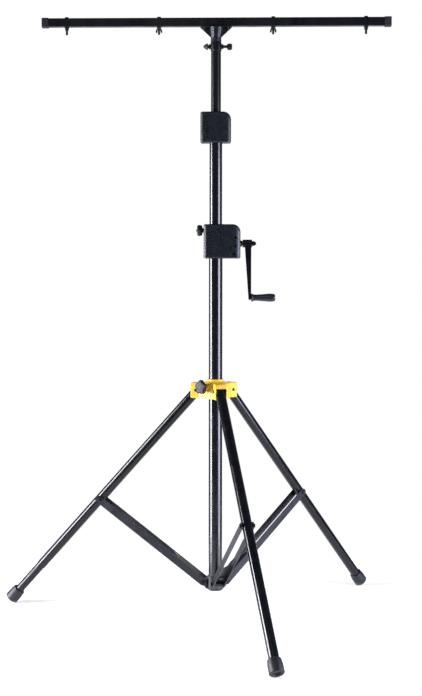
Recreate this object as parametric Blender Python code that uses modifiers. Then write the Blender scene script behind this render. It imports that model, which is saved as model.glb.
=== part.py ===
"""Wind-up tripod light stand with a cross bar: three sliding mast tubes, a hand winch and folding legs.

Metres, +Z up. The floor is z = 0, +X runs along the cross bar, and the origin is the middle of the
stand's own box at floor level. The mast axis stands beside it, because a tripod isn't symmetrical.
"""
from math import asin, atan2, cos, hypot, pi, radians, sin, sqrt, tan

import bmesh
import bpy
from mathutils import Matrix, Vector

# Gaps between pieces
TOUCH = 0.0003
RUN = 0.0004

# Facets round a tube, a small turned piece and a bolt
TUBE_SIDES = 20
TURNED_SIDES = 16
INNER_SIDES = 12
BOLT_SIDES = 8

# Mast tubes
LOWER_TUBE_DIAMETER = 0.0483
LOWER_TUBE_WALL = 0.0012
MIDDLE_TUBE_DIAMETER = 0.0450
MIDDLE_TUBE_WALL = 0.0015
MIDDLE_TUBE_LENGTH = 1.200
TOP_TUBE_DIAMETER = 0.0350
TOP_TUBE_WALL = 0.0015
TOP_TUBE_LENGTH = 1.130
TUBE_FOOT_LENGTH = 0.030

# Base hub
HUB_BOTTOM_HEIGHT = 0.101
HUB_HEIGHT = 0.052
HUB_WALL = 0.0043
HUB_FLOOR = 0.005
HUB_PIVOT_HEIGHT = 0.130
HUB_PIVOT_RADIUS = 0.040
HUB_LUG_RADIUS = 0.0115

# Legs, with the first azimuth measured from the cross bar
FRONT_LEG_AZIMUTH = radians(-76.1)
LEG_COUNT = 3
LEG_ANGLE = radians(42.2)
LEG_DIAMETER = 0.035
LEG_WALL = 0.0015
LEG_HEAD = 0.010
LEG_PIVOT_TO_BRACE = 0.5526
PIVOT_PIN_DIAMETER = 0.008
PIVOT_HEAD_RADIUS = 0.0072
PIVOT_HEAD_HEIGHT = 0.0050

# Levelling leg, which is the left one
LEVELLING_LEG = 2
LEVELLING_TUBE_DIAMETER = 0.0314
LEVELLING_TUBE_SHOWN = 0.130
LEVELLING_TUBE_HIDDEN = 0.240

# Rubber feet
FOOT_DIAMETER = 0.050
FOOT_NECK_DIAMETER = 0.045
FOOT_LENGTH = 0.050
FOOT_TREAD = 0.012
FOOT_HOLLOW_RADIUS = 0.014
FOOT_HOLLOW_DEPTH = 0.005
FOOT_FLAT = 0.0015

# Braces, each one fork of folded steel plate
BRACE_DEPTH = 0.026
BRACE_PLATE = 0.0025
BRACE_WEB_START = 0.028
BRACE_WEB_LENGTH = 0.125
BRACE_NOTCH = 0.035
BRACE_SIDE_GAP = 0.001

# Leg collar
COLLAR_PIVOT_HEIGHT = 0.819
COLLAR_PIVOT_RADIUS = 0.067
COLLAR_ABOVE_PIVOT = 0.040
COLLAR_BELOW_PIVOT = 0.028
COLLAR_ARM_ABOVE = 0.026
COLLAR_CORE_WALL = 0.0030
COLLAR_LINER = 0.0020
COLLAR_EAR = 0.0040
COLLAR_EAR_END = 0.020
COLLAR_WALL_RADIUS = 0.047
COLLAR_LINTEL = 0.011
KNOB_ABOVE_PIVOT = 0.014
KNOB_BOSS_RADIUS = 0.011
KNOB_BOSS_LENGTH = 0.006

# Lobed knobs on the collar and on the winch housing
KNOB_LOBES = 5
COLLAR_KNOB_DIAMETER = 0.051
COLLAR_KNOB_THICKNESS = 0.016
COLLAR_KNOB_NECK = 0.009
LOCK_KNOB_DIAMETER = 0.040
LOCK_KNOB_THICKNESS = 0.019
LOCK_KNOB_NECK = 0.004
KNOB_STUD_DIAMETER = 0.008

# Winch housing on the lower tube
WINCH_BOTTOM_HEIGHT = 1.286
WINCH_HEIGHT = 0.121
WINCH_LEFT = 0.043
WINCH_RIGHT = 0.087
WINCH_DEPTH = 0.078
WINCH_TUBE_SEAT = 0.080
LOCK_KNOB_DROP = 0.022
GUIDE_BUSH_WALL = 0.004
GUIDE_BUSH_HEIGHT = 0.020

# Pulley housing on the middle tube
PULLEY_HOUSING_BOTTOM_HEIGHT = 1.691
PULLEY_HOUSING_HEIGHT = 0.109
PULLEY_HOUSING_LEFT = 0.0545
PULLEY_HOUSING_RIGHT = 0.053
PULLEY_HOUSING_DEPTH = 0.074
PULLEY_HOUSING_SEAT = 0.034
PULLEY_RADIUS = 0.0130
PULLEY_WIDTH = 0.009
PULLEY_AXLE_RADIUS = 0.004

# Form shared by both housings
CASE_CORNER = 0.007
CASE_SHOULDER = 0.028
CASE_WALL = 0.0035
CASE_EDGE = 0.004
CASE_CROWN = 0.002
CASE_SIDE_ROUND = 0.013
GRIP_GROOVE_PITCH = 0.0105
GRIP_GROOVE_WIDTH = 0.0040
GRIP_GROOVE_DEPTH = 0.0015
GRIP_REACH = 0.028
CASE_SCREW_HEAD = 0.0042
CASE_SCREW_SINK = 0.0020

# Winch shaft, drum and ratchet
CRANK_AXIS_ABOVE_CASE = 0.053
SHAFT_RADIUS = 0.0070
SHAFT_JOURNAL_RADIUS = 0.0050
DRUM_BARREL_RADIUS = 0.0180
DRUM_FLANGE_RADIUS = 0.0270
DRUM_FLANGE = 0.0025
DRUM_WIDTH = 0.034
DRUM_TURNS = 3
CABLE_DIAMETER = 0.0040
RATCHET_TEETH = 12
RATCHET_RADIUS = 0.0240
RATCHET_TOOTH = 0.0035
RATCHET_THICKNESS = 0.005
PAWL_THICKNESS = 0.004
BEARING_WALL = 0.0025
BEARING_NOSE = 0.0065

# Crank
CRANK_RADIUS = 0.191
CRANK_HUB_RADIUS = 0.014
CRANK_HUB_LENGTH = 0.034
CRANK_ARM_ROOT = 0.024
CRANK_ARM_TIP = 0.009
CRANK_ARM_ROOT_WIDTH = 0.025
CRANK_ARM_TIP_WIDTH = 0.018
CRANK_NUT_RADIUS = 0.0085
CRANK_NUT_LENGTH = 0.014
GRIP_LENGTH = 0.085
GRIP_FLANGE_RADIUS = 0.0143
GRIP_WAIST_RADIUS = 0.0110
GRIP_BELLY_RADIUS = 0.0145
GRIP_SPINDLE_RADIUS = 0.004

# Head that carries the bar
BAR_BOTTOM_HEIGHT = 2.097
RECEPTACLE_BELOW_BAR = 0.085
RECEPTACLE_HEIGHT = 0.0315
RECEPTACLE_RADIUS = 0.0195
RECEPTACLE_SHANK = 0.040
SPIGOT_DIAMETER = 0.028
SPIGOT_BELOW = 0.062
SPIGOT_ABOVE = 0.030
SOCKET_NECK_RADIUS = 0.0185
SOCKET_NECK_LENGTH = 0.014
SOCKET_TOP_RADIUS = 0.0235
SOCKET_RIBS = 10
SOCKET_RIB_DEPTH = 0.0016
BRACKET_LENGTH = 0.111
BRACKET_PLATE = 0.003
BRACKET_FIN = 0.006
BRACKET_BOLT_OFFSET = 0.040
BRACKET_BOLT_RADIUS = 0.003
BRACKET_BOSS_RADIUS = 0.0065
BRACKET_BOSS_LENGTH = 0.010
HEAD_BOSS_RADIUS = 0.0085
HEAD_BOSS_REACH = 0.026
HEAD_KNOB_SHAFT_RADIUS = 0.0050
HEAD_KNOB_SHAFT_END = 0.0385
HEAD_KNOB_RADIUS = 0.0120
HEAD_KNOB_LENGTH = 0.0180
PIN_RADIUS = 0.0040
PIN_KNOB_RADIUS = 0.0120
PIN_KNOB_LENGTH = 0.0155
PIN_TRAVEL = 0.006

# Cross bar and its bolts
BAR_LENGTH = 1.220
BAR_SIZE = 0.030
BAR_WALL = 0.002
BAR_CORNER = 0.003
BAR_CAP_SLEEVE = 0.022
BAR_CAP_WALL = 0.0015
INNER_BOLT_OFFSET = 0.200
OUTER_BOLT_FROM_END = 0.086
BOLT_DRAW = 0.0001
BOLT_DRAW_LEFT = 0.018
BOLT_DRAW_RIGHT = 0.012
YOKE_BOLT_DIAMETER = 0.008
YOKE_BOLT_BELOW = 0.027
YOKE_HEAD_RADIUS = 0.0075
YOKE_HEAD_HEIGHT = 0.0045
WING_NUT_FLANGE_RADIUS = 0.0085
WING_NUT_FLANGE = 0.002
WING_NUT_RADIUS = 0.0078
WING_NUT_HEIGHT = 0.010
WING_SPAN = 0.0115
WING_DROP = 0.021
WING_THICKNESS = 0.003

# Sizes worked out from the ones above
lower_radius = LOWER_TUBE_DIAMETER / 2
lower_bore = lower_radius - LOWER_TUBE_WALL
middle_radius = MIDDLE_TUBE_DIAMETER / 2
middle_bore = middle_radius - MIDDLE_TUBE_WALL
top_radius = TOP_TUBE_DIAMETER / 2
top_bore = top_radius - TOP_TUBE_WALL
spigot_radius = SPIGOT_DIAMETER / 2
leg_radius = LEG_DIAMETER / 2
levelling_radius = LEVELLING_TUBE_DIAMETER / 2
pin_radius = PIVOT_PIN_DIAMETER / 2
pin_hole = pin_radius + RUN
foot_radius = FOOT_DIAMETER / 2

lower_tube_bottom = HUB_BOTTOM_HEIGHT + HUB_FLOOR + TOUCH
lower_tube_top = WINCH_BOTTOM_HEIGHT + WINCH_TUBE_SEAT - TOUCH
middle_tube_top = PULLEY_HOUSING_BOTTOM_HEIGHT + PULLEY_HOUSING_SEAT
middle_tube_bottom = middle_tube_top - MIDDLE_TUBE_LENGTH
receptacle_bottom = BAR_BOTTOM_HEIGHT - RECEPTACLE_BELOW_BAR
top_tube_top = receptacle_bottom - TOUCH
top_tube_bottom = top_tube_top - TOP_TUBE_LENGTH
crank_height = WINCH_BOTTOM_HEIGHT + CRANK_AXIS_ABOVE_CASE
lock_knob_height = WINCH_BOTTOM_HEIGHT + WINCH_HEIGHT - LOCK_KNOB_DROP

leg_azimuths = [FRONT_LEG_AZIMUTH + 2 * pi * number / LEG_COUNT for number in range(LEG_COUNT)]
leg_names = ["front", "right", "left"]
foot_end_height = foot_radius * sin(LEG_ANGLE) - FOOT_FLAT
leg_reach = (COLLAR_PIVOT_HEIGHT - foot_end_height) / cos(LEG_ANGLE)
brace_run = COLLAR_PIVOT_RADIUS + LEG_PIVOT_TO_BRACE * sin(LEG_ANGLE) - HUB_PIVOT_RADIUS
brace_rise = COLLAR_PIVOT_HEIGHT - LEG_PIVOT_TO_BRACE * cos(LEG_ANGLE) - HUB_PIVOT_HEIGHT
brace_length = hypot(brace_run, brace_rise)
brace_angle = atan2(brace_run, brace_rise)
brace_inside = leg_radius + BRACE_SIDE_GAP
brace_outside = brace_inside + BRACE_PLATE
collar_bore = lower_radius + RUN + COLLAR_LINER + TOUCH
collar_core = collar_bore + COLLAR_CORE_WALL
collar_slot = leg_radius + TOUCH + 0.0005
collar_arm = collar_slot + COLLAR_EAR
collar_end = COLLAR_PIVOT_RADIUS + COLLAR_EAR_END
leg_head_sweep = hypot(leg_radius, LEG_HEAD) + RUN
knob_azimuth = (leg_azimuths[0] + leg_azimuths[LEVELLING_LEG] - 2 * pi) / 2

drum_room_left = lower_radius + 0.0053
drum_room_right = WINCH_RIGHT - CASE_WALL
bearing_radius = SHAFT_RADIUS + RUN + BEARING_WALL
drum_left = drum_room_left + 0.002
ratchet_left = drum_left + DRUM_WIDTH + TOUCH
hub_start = WINCH_RIGHT + BEARING_NOSE + 2 * RUN
hub_end = hub_start + CRANK_HUB_LENGTH
arm_right = hub_end - 0.003
grip_start = arm_right + RUN

receptacle_top = receptacle_bottom + RECEPTACLE_HEIGHT
head_boss_height = receptacle_bottom + RECEPTACLE_HEIGHT / 2
socket_bottom = receptacle_top + RUN
bracket_bottom = BAR_BOTTOM_HEIGHT - TOUCH - BRACKET_PLATE
bar_top = BAR_BOTTOM_HEIGHT + BAR_SIZE
bar_inside = BAR_SIZE / 2 - BAR_WALL
outer_bolt_offset = BAR_LENGTH / 2 - OUTER_BOLT_FROM_END
bolt_offsets = [-outer_bolt_offset, -INNER_BOLT_OFFSET, INNER_BOLT_OFFSET, outer_bolt_offset]


def mast_offset(direction):
    """Where the mast axis stands along X (0) or Y (1) when the whole stand's box is centred."""
    low, high = [], []
    for azimuth in leg_azimuths:
        heading = (cos(azimuth), sin(azimuth))[direction]
        centre = (COLLAR_PIVOT_RADIUS + leg_reach * sin(LEG_ANGLE)) * heading
        rim = foot_radius * sqrt(1 - (sin(LEG_ANGLE) * heading) ** 2)
        low.append(centre - rim)
        high.append(centre + rim)
    if direction == 0:
        bar_end = BAR_LENGTH / 2 + BAR_CAP_WALL
        low.append(-bar_end)
        high.append(bar_end)
    return -(min(low) + max(high)) / 2


# Collections
for old in list(bpy.data.objects):
    bpy.data.objects.remove(old, do_unlink=True)
stand = bpy.data.collections.new("light_stand")
cutters = bpy.data.collections.new("cutters")
bpy.context.scene.collection.children.link(stand)
bpy.context.scene.collection.children.link(cutters)


# Helpers
def material(name, colour, roughness, metallic=0.0):
    """A Principled material for one kind of finish; each piece takes its own copy."""
    made = bpy.data.materials.new(name)
    made.use_nodes = True
    shader = made.node_tree.nodes["Principled BSDF"]
    shader.inputs["Base Color"].default_value = (*colour, 1.0)
    shader.inputs["Roughness"].default_value = roughness
    shader.inputs["Metallic"].default_value = metallic
    made.diffuse_color = (*colour, 1.0)
    return made


FINISHES = {
    "black_paint": material("black_paint", (0.012, 0.012, 0.014), 0.25),
    "black_plastic": material("black_plastic", (0.020, 0.021, 0.024), 0.55),
    "yellow_casting": material("yellow_casting", (0.75, 0.42, 0.02), 0.45),
    "rubber": material("rubber", (0.020, 0.020, 0.022), 0.80),
    "black_bolt": material("black_bolt", (0.015, 0.015, 0.016), 0.40, 0.3),
    "zinc": material("zinc", (0.55, 0.55, 0.57), 0.35, 1.0),
    "brass": material("brass", (0.60, 0.42, 0.16), 0.35, 1.0),
    "nylon": material("nylon", (0.70, 0.69, 0.64), 0.50),
}


def frame(name, parent=None, location=(0, 0, 0), rotation=(0, 0, 0)):
    """An empty that carries the pieces of one body, standing on that body's joint."""
    empty = bpy.data.objects.new(name, None)
    empty.parent = parent
    empty.location = location
    empty.rotation_euler = rotation
    stand.objects.link(empty)
    return empty


def piece(name, mesh, parent, finish, location=(0, 0, 0), rotation=(0, 0, 0)):
    """One sub-part of the stand."""
    made = bpy.data.objects.new(name, mesh)
    made.parent = parent
    made.location = location
    made.rotation_euler = rotation
    own = FINISHES[finish].copy()
    own.name = name + "_" + finish
    mesh.materials.clear()
    mesh.materials.append(own)
    mesh.shade_smooth()
    mesh.set_sharp_from_angle(angle=radians(35))
    stand.objects.link(made)
    return made


def tool(name, mesh, parent, location=(0, 0, 0), rotation=(0, 0, 0)):
    """A shape that only cuts, trims or joins a piece."""
    made = bpy.data.objects.new(name, mesh)
    made.parent = parent
    made.location = location
    made.rotation_euler = rotation
    made.hide_render = True
    made.display_type = "WIRE"
    cutters.objects.link(made)
    return made


def combine(target, operation, *shapes):
    """Boolean modifiers on the target, one for each shape."""
    for shape in shapes:
        modifier = target.modifiers.new(operation.lower(), "BOOLEAN")
        modifier.operation = operation
        modifier.object = shape
        modifier.solver = "EXACT"


def cut(target, *shapes):
    combine(target, "DIFFERENCE", *shapes)


def join(target, *shapes):
    combine(target, "UNION", *shapes)


def keep_inside(target, *shapes):
    combine(target, "INTERSECT", *shapes)


def facing(axis):
    """Turns local Z to the named axis."""
    return {"Z": Matrix(), "X": Matrix.Rotation(pi / 2, 4, "Y"), "Y": Matrix.Rotation(-pi / 2, 4, "X")}[axis]


def rod(radius, start, end, axis="Z", at=(0, 0, 0), sides=BOLT_SIDES, end_radius=None):
    """A solid round bar, cone or prism along one axis, from start to end."""
    made = bmesh.new()
    middle = Matrix.Translation((0, 0, (start + end) / 2))
    bmesh.ops.create_cone(
        made, cap_ends=True, segments=sides, radius1=radius,
        radius2=radius if end_radius is None else end_radius, depth=end - start,
        matrix=Matrix.Translation(at) @ facing(axis) @ middle,
    )
    mesh = bpy.data.meshes.new("rod")
    made.to_mesh(mesh)
    made.free()
    return mesh


def block(low, high):
    """A box from its lowest to its highest corner."""
    made = bmesh.new()
    size = [top - bottom for bottom, top in zip(low, high)]
    centre = [(top + bottom) / 2 for bottom, top in zip(low, high)]
    scale = Matrix.Diagonal((*size, 1))
    bmesh.ops.create_cube(made, size=1.0, matrix=Matrix.Translation(centre) @ scale)
    mesh = bpy.data.meshes.new("block")
    made.to_mesh(mesh)
    made.free()
    return mesh


def merged(*meshes):
    """Several meshes as one, for bodies that stay separate or are cut together."""
    made = bmesh.new()
    for mesh in meshes:
        made.from_mesh(mesh)
    whole = bpy.data.meshes.new("merged")
    made.to_mesh(whole)
    made.free()
    return whole


def thickened(mesh_object, wall, offset=-1):
    """A shell of the given wall from an open surface; offset -1 grows it inwards."""
    modifier = mesh_object.modifiers.new("wall", "SOLIDIFY")
    modifier.thickness = wall
    modifier.offset = offset
    modifier.use_even_offset = True


def sleeve(radius, bottom, top, sides=TUBE_SIDES):
    """The open outer surface of a round tube along Z, for thickened()."""
    made = bmesh.new()
    middle = Matrix.Translation((0, 0, (bottom + top) / 2))
    bmesh.ops.create_cone(
        made, cap_ends=False, segments=sides, radius1=radius, radius2=radius, depth=top - bottom,
        matrix=middle,
    )
    mesh = bpy.data.meshes.new("sleeve")
    made.to_mesh(mesh)
    made.free()
    return mesh


def profile(points, closed=True):
    """The half section of a turned piece as radius and height, down its outer side first."""
    mesh = bpy.data.meshes.new("profile")
    edges = [(index, index + 1) for index in range(len(points) - 1)]
    if closed:
        edges.append((len(points) - 1, 0))
    mesh.from_pydata([(radius, 0, height) for radius, height in points], edges, [])
    return mesh


def turn(made, sides=TURNED_SIDES):
    """Revolves a profile about local Z."""
    modifier = made.modifiers.new("turned", "SCREW")
    modifier.axis = "Z"
    modifier.angle = 2 * pi
    modifier.steps = sides
    modifier.render_steps = sides
    modifier.use_merge_vertices = True
    modifier.merge_threshold = 0.00001
    modifier.use_smooth_shade = True


def turned(name, points, parent, finish, sides=TURNED_SIDES, closed=True, **place):
    made = piece(name, profile(points, closed), parent, finish, **place)
    turn(made, sides)
    return made


def turned_tool(name, points, parent, sides=TURNED_SIDES, closed=True, **place):
    made = tool(name, profile(points, closed), parent, **place)
    turn(made, sides)
    return made


def rounded(corners, steps=2):
    """A closed outline whose corners, each (x, y, radius), become arcs of so many steps a quarter turn."""
    outline = []
    count = len(corners)
    for index, (x, y, radius) in enumerate(corners):
        corner = Vector((x, y))
        before = Vector(corners[index - 1][:2]) - corner
        after = Vector(corners[(index + 1) % count][:2]) - corner
        if radius <= 0:
            outline.append((x, y))
            continue
        half = before.angle(after) / 2
        reach = radius / tan(half)
        first = corner + before.normalized() * reach
        last = corner + after.normalized() * reach
        centre = corner + (before.normalized() + after.normalized()).normalized() * (radius / sin(half))
        start = (first - centre)
        sweep = start.angle_signed(last - centre)
        pieces = max(1, round(steps * abs(sweep) / (pi / 2)))
        for step in range(pieces + 1):
            turned_by = Matrix.Rotation(-sweep * step / pieces, 2)
            outline.append(tuple(centre + turned_by @ start))
    return outline


PLANES = {
    "XY": Matrix(),
    "XZ": Matrix.Rotation(pi / 2, 4, "X"),
    "YZ": Matrix.Rotation(pi / 2, 4, "Z") @ Matrix.Rotation(pi / 2, 4, "X"),
}


def slab(outline, thickness, plane="XY", at=(0, 0, 0), edge=0.0, smooth=0):
    """A flat outline drawn as a filled 2D curve, half its thickness to each side, as a welded mesh."""
    curve = bpy.data.curves.new("outline", "CURVE")
    curve.dimensions = "2D"
    curve.fill_mode = "BOTH"
    curve.extrude = thickness / 2 - edge
    curve.bevel_depth = edge
    curve.bevel_resolution = smooth
    curve.offset = -edge
    spline = curve.splines.new("POLY")
    spline.points.add(len(outline) - 1)
    for point, (x, y) in zip(spline.points, outline):
        point.co = (x, y, 0, 1)
    spline.use_cyclic_u = True
    drawn = bpy.data.objects.new("outline", curve)
    bpy.context.scene.collection.objects.link(drawn)
    seen = drawn.evaluated_get(bpy.context.evaluated_depsgraph_get())
    mesh = bpy.data.meshes.new_from_object(seen)
    bpy.data.objects.remove(drawn, do_unlink=True)
    bpy.data.curves.remove(curve)
    made = bmesh.new()
    made.from_mesh(mesh)
    bmesh.ops.remove_doubles(made, verts=made.verts, dist=0.000001)
    bmesh.ops.transform(made, matrix=Matrix.Translation(at) @ PLANES[plane], verts=made.verts)
    bmesh.ops.recalc_face_normals(made, faces=made.faces)
    made.to_mesh(mesh)
    made.free()
    return mesh


def lobed(diameter, lobes, dip, points_per_lobe=6):
    """The outline of a hand knob with round lobes."""
    count = lobes * points_per_lobe
    outline = []
    for index in range(count):
        angle = 2 * pi * index / count
        radius = diameter / 2 - dip / 2 + dip / 2 * cos(lobes * angle)
        outline.append((radius * cos(angle), radius * sin(angle)))
    return outline


def toothed(radius, teeth, depth):
    """The outline of a ratchet wheel: a slow rise and a straight fall on each tooth."""
    outline = []
    for index in range(teeth):
        start = 2 * pi * index / teeth
        for share, drop in ((0.0, 0.0), (0.04, depth), (0.55, depth * 0.45)):
            angle = start + 2 * pi / teeth * share
            outline.append(((radius - drop) * cos(angle), (radius - drop) * sin(angle)))
    return outline


def hex_prism(radius, start, end, axis, at):
    """A nut or bolt head as a six-sided prism."""
    return rod(radius, start, end, axis, at, sides=6)


def pivot_bolt(name, parent, reach, at, rotation):
    """A pivot bolt along local Y, with a hex head and a nut just outside plus and minus reach."""
    half = reach + PIVOT_HEAD_HEIGHT
    bolt = piece(name, rod(pin_radius, 0.001 - half, half, "Y", at), parent, "black_bolt",
                 rotation=rotation)
    for low, high in ((-half, -reach), (reach, half - 0.001)):
        end = tool("hex_end", hex_prism(PIVOT_HEAD_RADIUS, low, high, "Y", at), parent, rotation=rotation)
        join(bolt, end)


# Base hub, lower tube and what they hold
def base_and_lower_tube(mast):
    bottom = HUB_BOTTOM_HEIGHT
    top = bottom + HUB_HEIGHT
    bore = lower_radius + TOUCH
    outer = bore + HUB_WALL
    chamfer = HUB_FLOOR
    hub = turned("base_hub", [
        (0, bottom + HUB_FLOOR), (bore, bottom + HUB_FLOOR), (bore, top), (outer, top),
        (outer, bottom + chamfer), (outer - chamfer, bottom), (0, bottom),
    ], mast, "black_plastic", sides=TUBE_SIDES, closed=False)
    lug_width = 2 * (brace_inside - TOUCH)
    steps = 6
    nose = [(HUB_PIVOT_RADIUS + HUB_LUG_RADIUS * sin(pi * step / steps),
             HUB_PIVOT_HEIGHT - HUB_LUG_RADIUS * cos(pi * step / steps)) for step in range(steps + 1)]
    root = bore + HUB_WALL / 2
    outline = [(root, bottom + chamfer), *nose, (root, HUB_PIVOT_HEIGHT + HUB_LUG_RADIUS)]
    pivot = (HUB_PIVOT_RADIUS, 0, HUB_PIVOT_HEIGHT)
    for azimuth, name in zip(leg_azimuths, leg_names):
        turned_to = (0, 0, azimuth)
        join(hub, tool("hub_lug", slab(outline, lug_width, "XZ"), mast, rotation=turned_to))
        pivot_bolt("hub_bolt_" + name, mast, brace_outside + TOUCH, pivot, turned_to)
    for azimuth in leg_azimuths:
        hole = rod(pin_radius + TOUCH, -lug_width, lug_width, "Y", pivot)
        cut(hub, tool("hub_pin_hole", hole, mast, rotation=(0, 0, azimuth)))

    tube = piece("lower_tube", sleeve(lower_radius, lower_tube_bottom, lower_tube_top), mast, "black_paint")
    thickened(tube, LOWER_TUBE_WALL)


# Leg collar that slides on the lower tube
def knob_mesh(diameter, thickness):
    """The lobed grip of a clamp knob, lying across local Z from z = 0."""
    dip = diameter * 0.16
    edge = thickness * 0.2
    return slab(lobed(diameter, KNOB_LOBES, dip), thickness, at=(0, 0, thickness / 2), edge=edge)


def leg_collar(mast):
    collar_frame = frame("collar_frame", mast, (0, 0, COLLAR_PIVOT_HEIGHT))
    top, bottom = COLLAR_ABOVE_PIVOT, -COLLAR_BELOW_PIVOT
    lip = 0.002
    shoulder = COLLAR_WALL_RADIUS - COLLAR_EAR
    collar = turned("leg_collar", [
        (0, top), (collar_core - lip, top), (collar_core, top - lip), (collar_core, top - 3 * lip),
        (shoulder, COLLAR_ARM_ABOVE), (shoulder, bottom + lip), (0, bottom + lip),
    ], collar_frame, "yellow_casting", sides=TUBE_SIDES, closed=False)
    half_turn = pi / LEG_COUNT
    wall_meets_arm = (COLLAR_WALL_RADIUS - collar_arm * sin(half_turn)) / cos(half_turn)
    corner, fillet = 0.0035, 0.006
    corners = []
    for azimuth in leg_azimuths:
        for along, across, radius in (
            (wall_meets_arm, -collar_arm, fillet), (collar_end, -collar_arm, corner),
            (collar_end, collar_arm, corner), (wall_meets_arm, collar_arm, fillet),
        ):
            x = along * cos(azimuth) - across * sin(azimuth)
            y = along * sin(azimuth) + across * cos(azimuth)
            corners.append((x, y, radius))
    height = COLLAR_ARM_ABOVE - bottom
    body = slab(rounded(corners, 2), height, at=(0, 0, bottom + height / 2), edge=lip)
    join(collar, tool("collar_body", body, collar_frame))
    face = COLLAR_WALL_RADIUS + KNOB_BOSS_LENGTH
    boss = rod(KNOB_BOSS_RADIUS, collar_core, face, "X", (0, 0, KNOB_ABOVE_PIVOT), TURNED_SIDES)
    join(collar, tool("collar_boss", boss, collar_frame, rotation=(0, 0, knob_azimuth)))
    cut(collar, tool("collar_bore", rod(collar_bore, 2 * bottom, 2 * top, sides=TUBE_SIDES), collar_frame))

    lintel_angle = asin(COLLAR_LINTEL / leg_head_sweep)
    steps = 6
    hood = leg_head_sweep / cos((pi - lintel_angle) / steps / 2)
    mouth = [(2 * collar_end, COLLAR_LINTEL), (2 * collar_end, 2 * bottom)]
    mouth.append((COLLAR_PIVOT_RADIUS - hood, 2 * bottom))
    for step in range(steps + 1):
        angle = pi - (pi - lintel_angle) * step / steps
        mouth.append((COLLAR_PIVOT_RADIUS + hood * cos(angle), hood * sin(angle)))
    pivot = (COLLAR_PIVOT_RADIUS, 0, 0)
    pin_end = collar_arm - lip / 2
    for azimuth, name in zip(leg_azimuths, leg_names):
        turned_to = (0, 0, azimuth)
        hole = rod(pin_radius + TOUCH, -2 * collar_arm, 2 * collar_arm, "Y", pivot)
        cut(collar,
            tool("leg_mouth", slab(mouth, 2 * collar_slot, "XZ"), collar_frame, rotation=turned_to),
            tool("leg_pin_hole", hole, collar_frame, rotation=turned_to))
        pin = rod(pin_radius, -pin_end, pin_end, "Y", pivot)
        piece("leg_pin_" + name, pin, collar_frame, "black_bolt", rotation=turned_to)

    liner = turned("collar_liner", [
        (collar_bore - TOUCH, top - lip), (collar_bore - TOUCH, bottom + lip),
        (lower_radius + RUN, bottom + lip), (lower_radius + RUN, top - lip),
    ], collar_frame, "nylon", sides=TUBE_SIDES)

    knob_frame = frame("collar_knob_frame", collar_frame, (
        face * cos(knob_azimuth), face * sin(knob_azimuth), KNOB_ABOVE_PIVOT), (0, pi / 2, knob_azimuth))
    stud_hole = rod(KNOB_STUD_DIAMETER / 2 + RUN, -face, 0.01, sides=INNER_SIDES)
    stud_tool = tool("collar_stud_hole", stud_hole, knob_frame)
    cut(collar, stud_tool)
    cut(liner, stud_tool)
    knob = piece("collar_knob", knob_mesh(COLLAR_KNOB_DIAMETER, COLLAR_KNOB_THICKNESS), knob_frame,
                 "black_plastic")
    knob.data.transform(Matrix.Translation((0, 0, COLLAR_KNOB_NECK)))
    stud = KNOB_STUD_DIAMETER / 2
    join(knob, turned_tool("collar_knob_stem", [
        (0, COLLAR_KNOB_NECK + 0.004), (KNOB_BOSS_RADIUS - 0.002, COLLAR_KNOB_NECK + 0.004),
        (KNOB_BOSS_RADIUS - 0.002, TOUCH), (stud, TOUCH), (stud, lower_radius + TOUCH - face),
        (0, lower_radius + TOUCH - face),
    ], knob_frame, sides=BOLT_SIDES, closed=False))
    return collar_frame


# Legs, feet and braces
def foot(name, parent, end, bore_radius, floor):
    """A rubber cap whose end face lies at local z = -end, cut flat where it meets the floor."""
    bore = bore_radius + TOUCH
    inside = -end + FOOT_TREAD
    top = -end + FOOT_LENGTH
    lip = 0.002
    cap = turned(name, [
        (0, inside), (bore, inside), (bore, top), (FOOT_NECK_DIAMETER / 2 - lip, top),
        (FOOT_NECK_DIAMETER / 2, top - lip), (foot_radius, -end + FOOT_LENGTH * 0.55),
        (foot_radius, -end + lip), (foot_radius - lip, -end), (FOOT_HOLLOW_RADIUS, -end),
        (FOOT_HOLLOW_RADIUS - lip, -end + FOOT_HOLLOW_DEPTH), (0, -end + FOOT_HOLLOW_DEPTH),
    ], parent, "rubber", sides=TUBE_SIDES, closed=False)
    cut(cap, floor)


def tripod_leg(number, collar_frame, floor):
    azimuth, name = leg_azimuths[number], leg_names[number]
    leg_frame = frame("leg_%s_frame" % name, collar_frame, (
        COLLAR_PIVOT_RADIUS * cos(azimuth), COLLAR_PIVOT_RADIUS * sin(azimuth), 0), (0, -LEG_ANGLE, azimuth))
    levelling = number == LEVELLING_LEG
    tube_end = leg_reach - FOOT_TREAD - TOUCH
    outer_end = leg_reach - FOOT_LENGTH - LEVELLING_TUBE_SHOWN if levelling else tube_end
    tube = piece("leg_" + name, sleeve(leg_radius, -outer_end, LEG_HEAD), leg_frame, "black_paint")
    thickened(tube, LEG_WALL)
    cut(tube, tool("leg_hole", rod(pin_hole, -leg_radius * 2, leg_radius * 2, "Y",
                                   sides=INNER_SIDES), leg_frame))
    if not levelling:
        foot("foot_" + name, leg_frame, leg_reach, leg_radius, floor)
        return
    slide_frame = frame("levelling_frame", leg_frame, (0, 0, -outer_end))
    shown_end = tube_end - outer_end
    inner = sleeve(levelling_radius, -shown_end, LEVELLING_TUBE_HIDDEN)
    thickened(piece("levelling_tube", inner, slide_frame, "black_paint"), LEG_WALL)
    foot("foot_" + name, slide_frame, leg_reach - outer_end, levelling_radius, floor)


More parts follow.
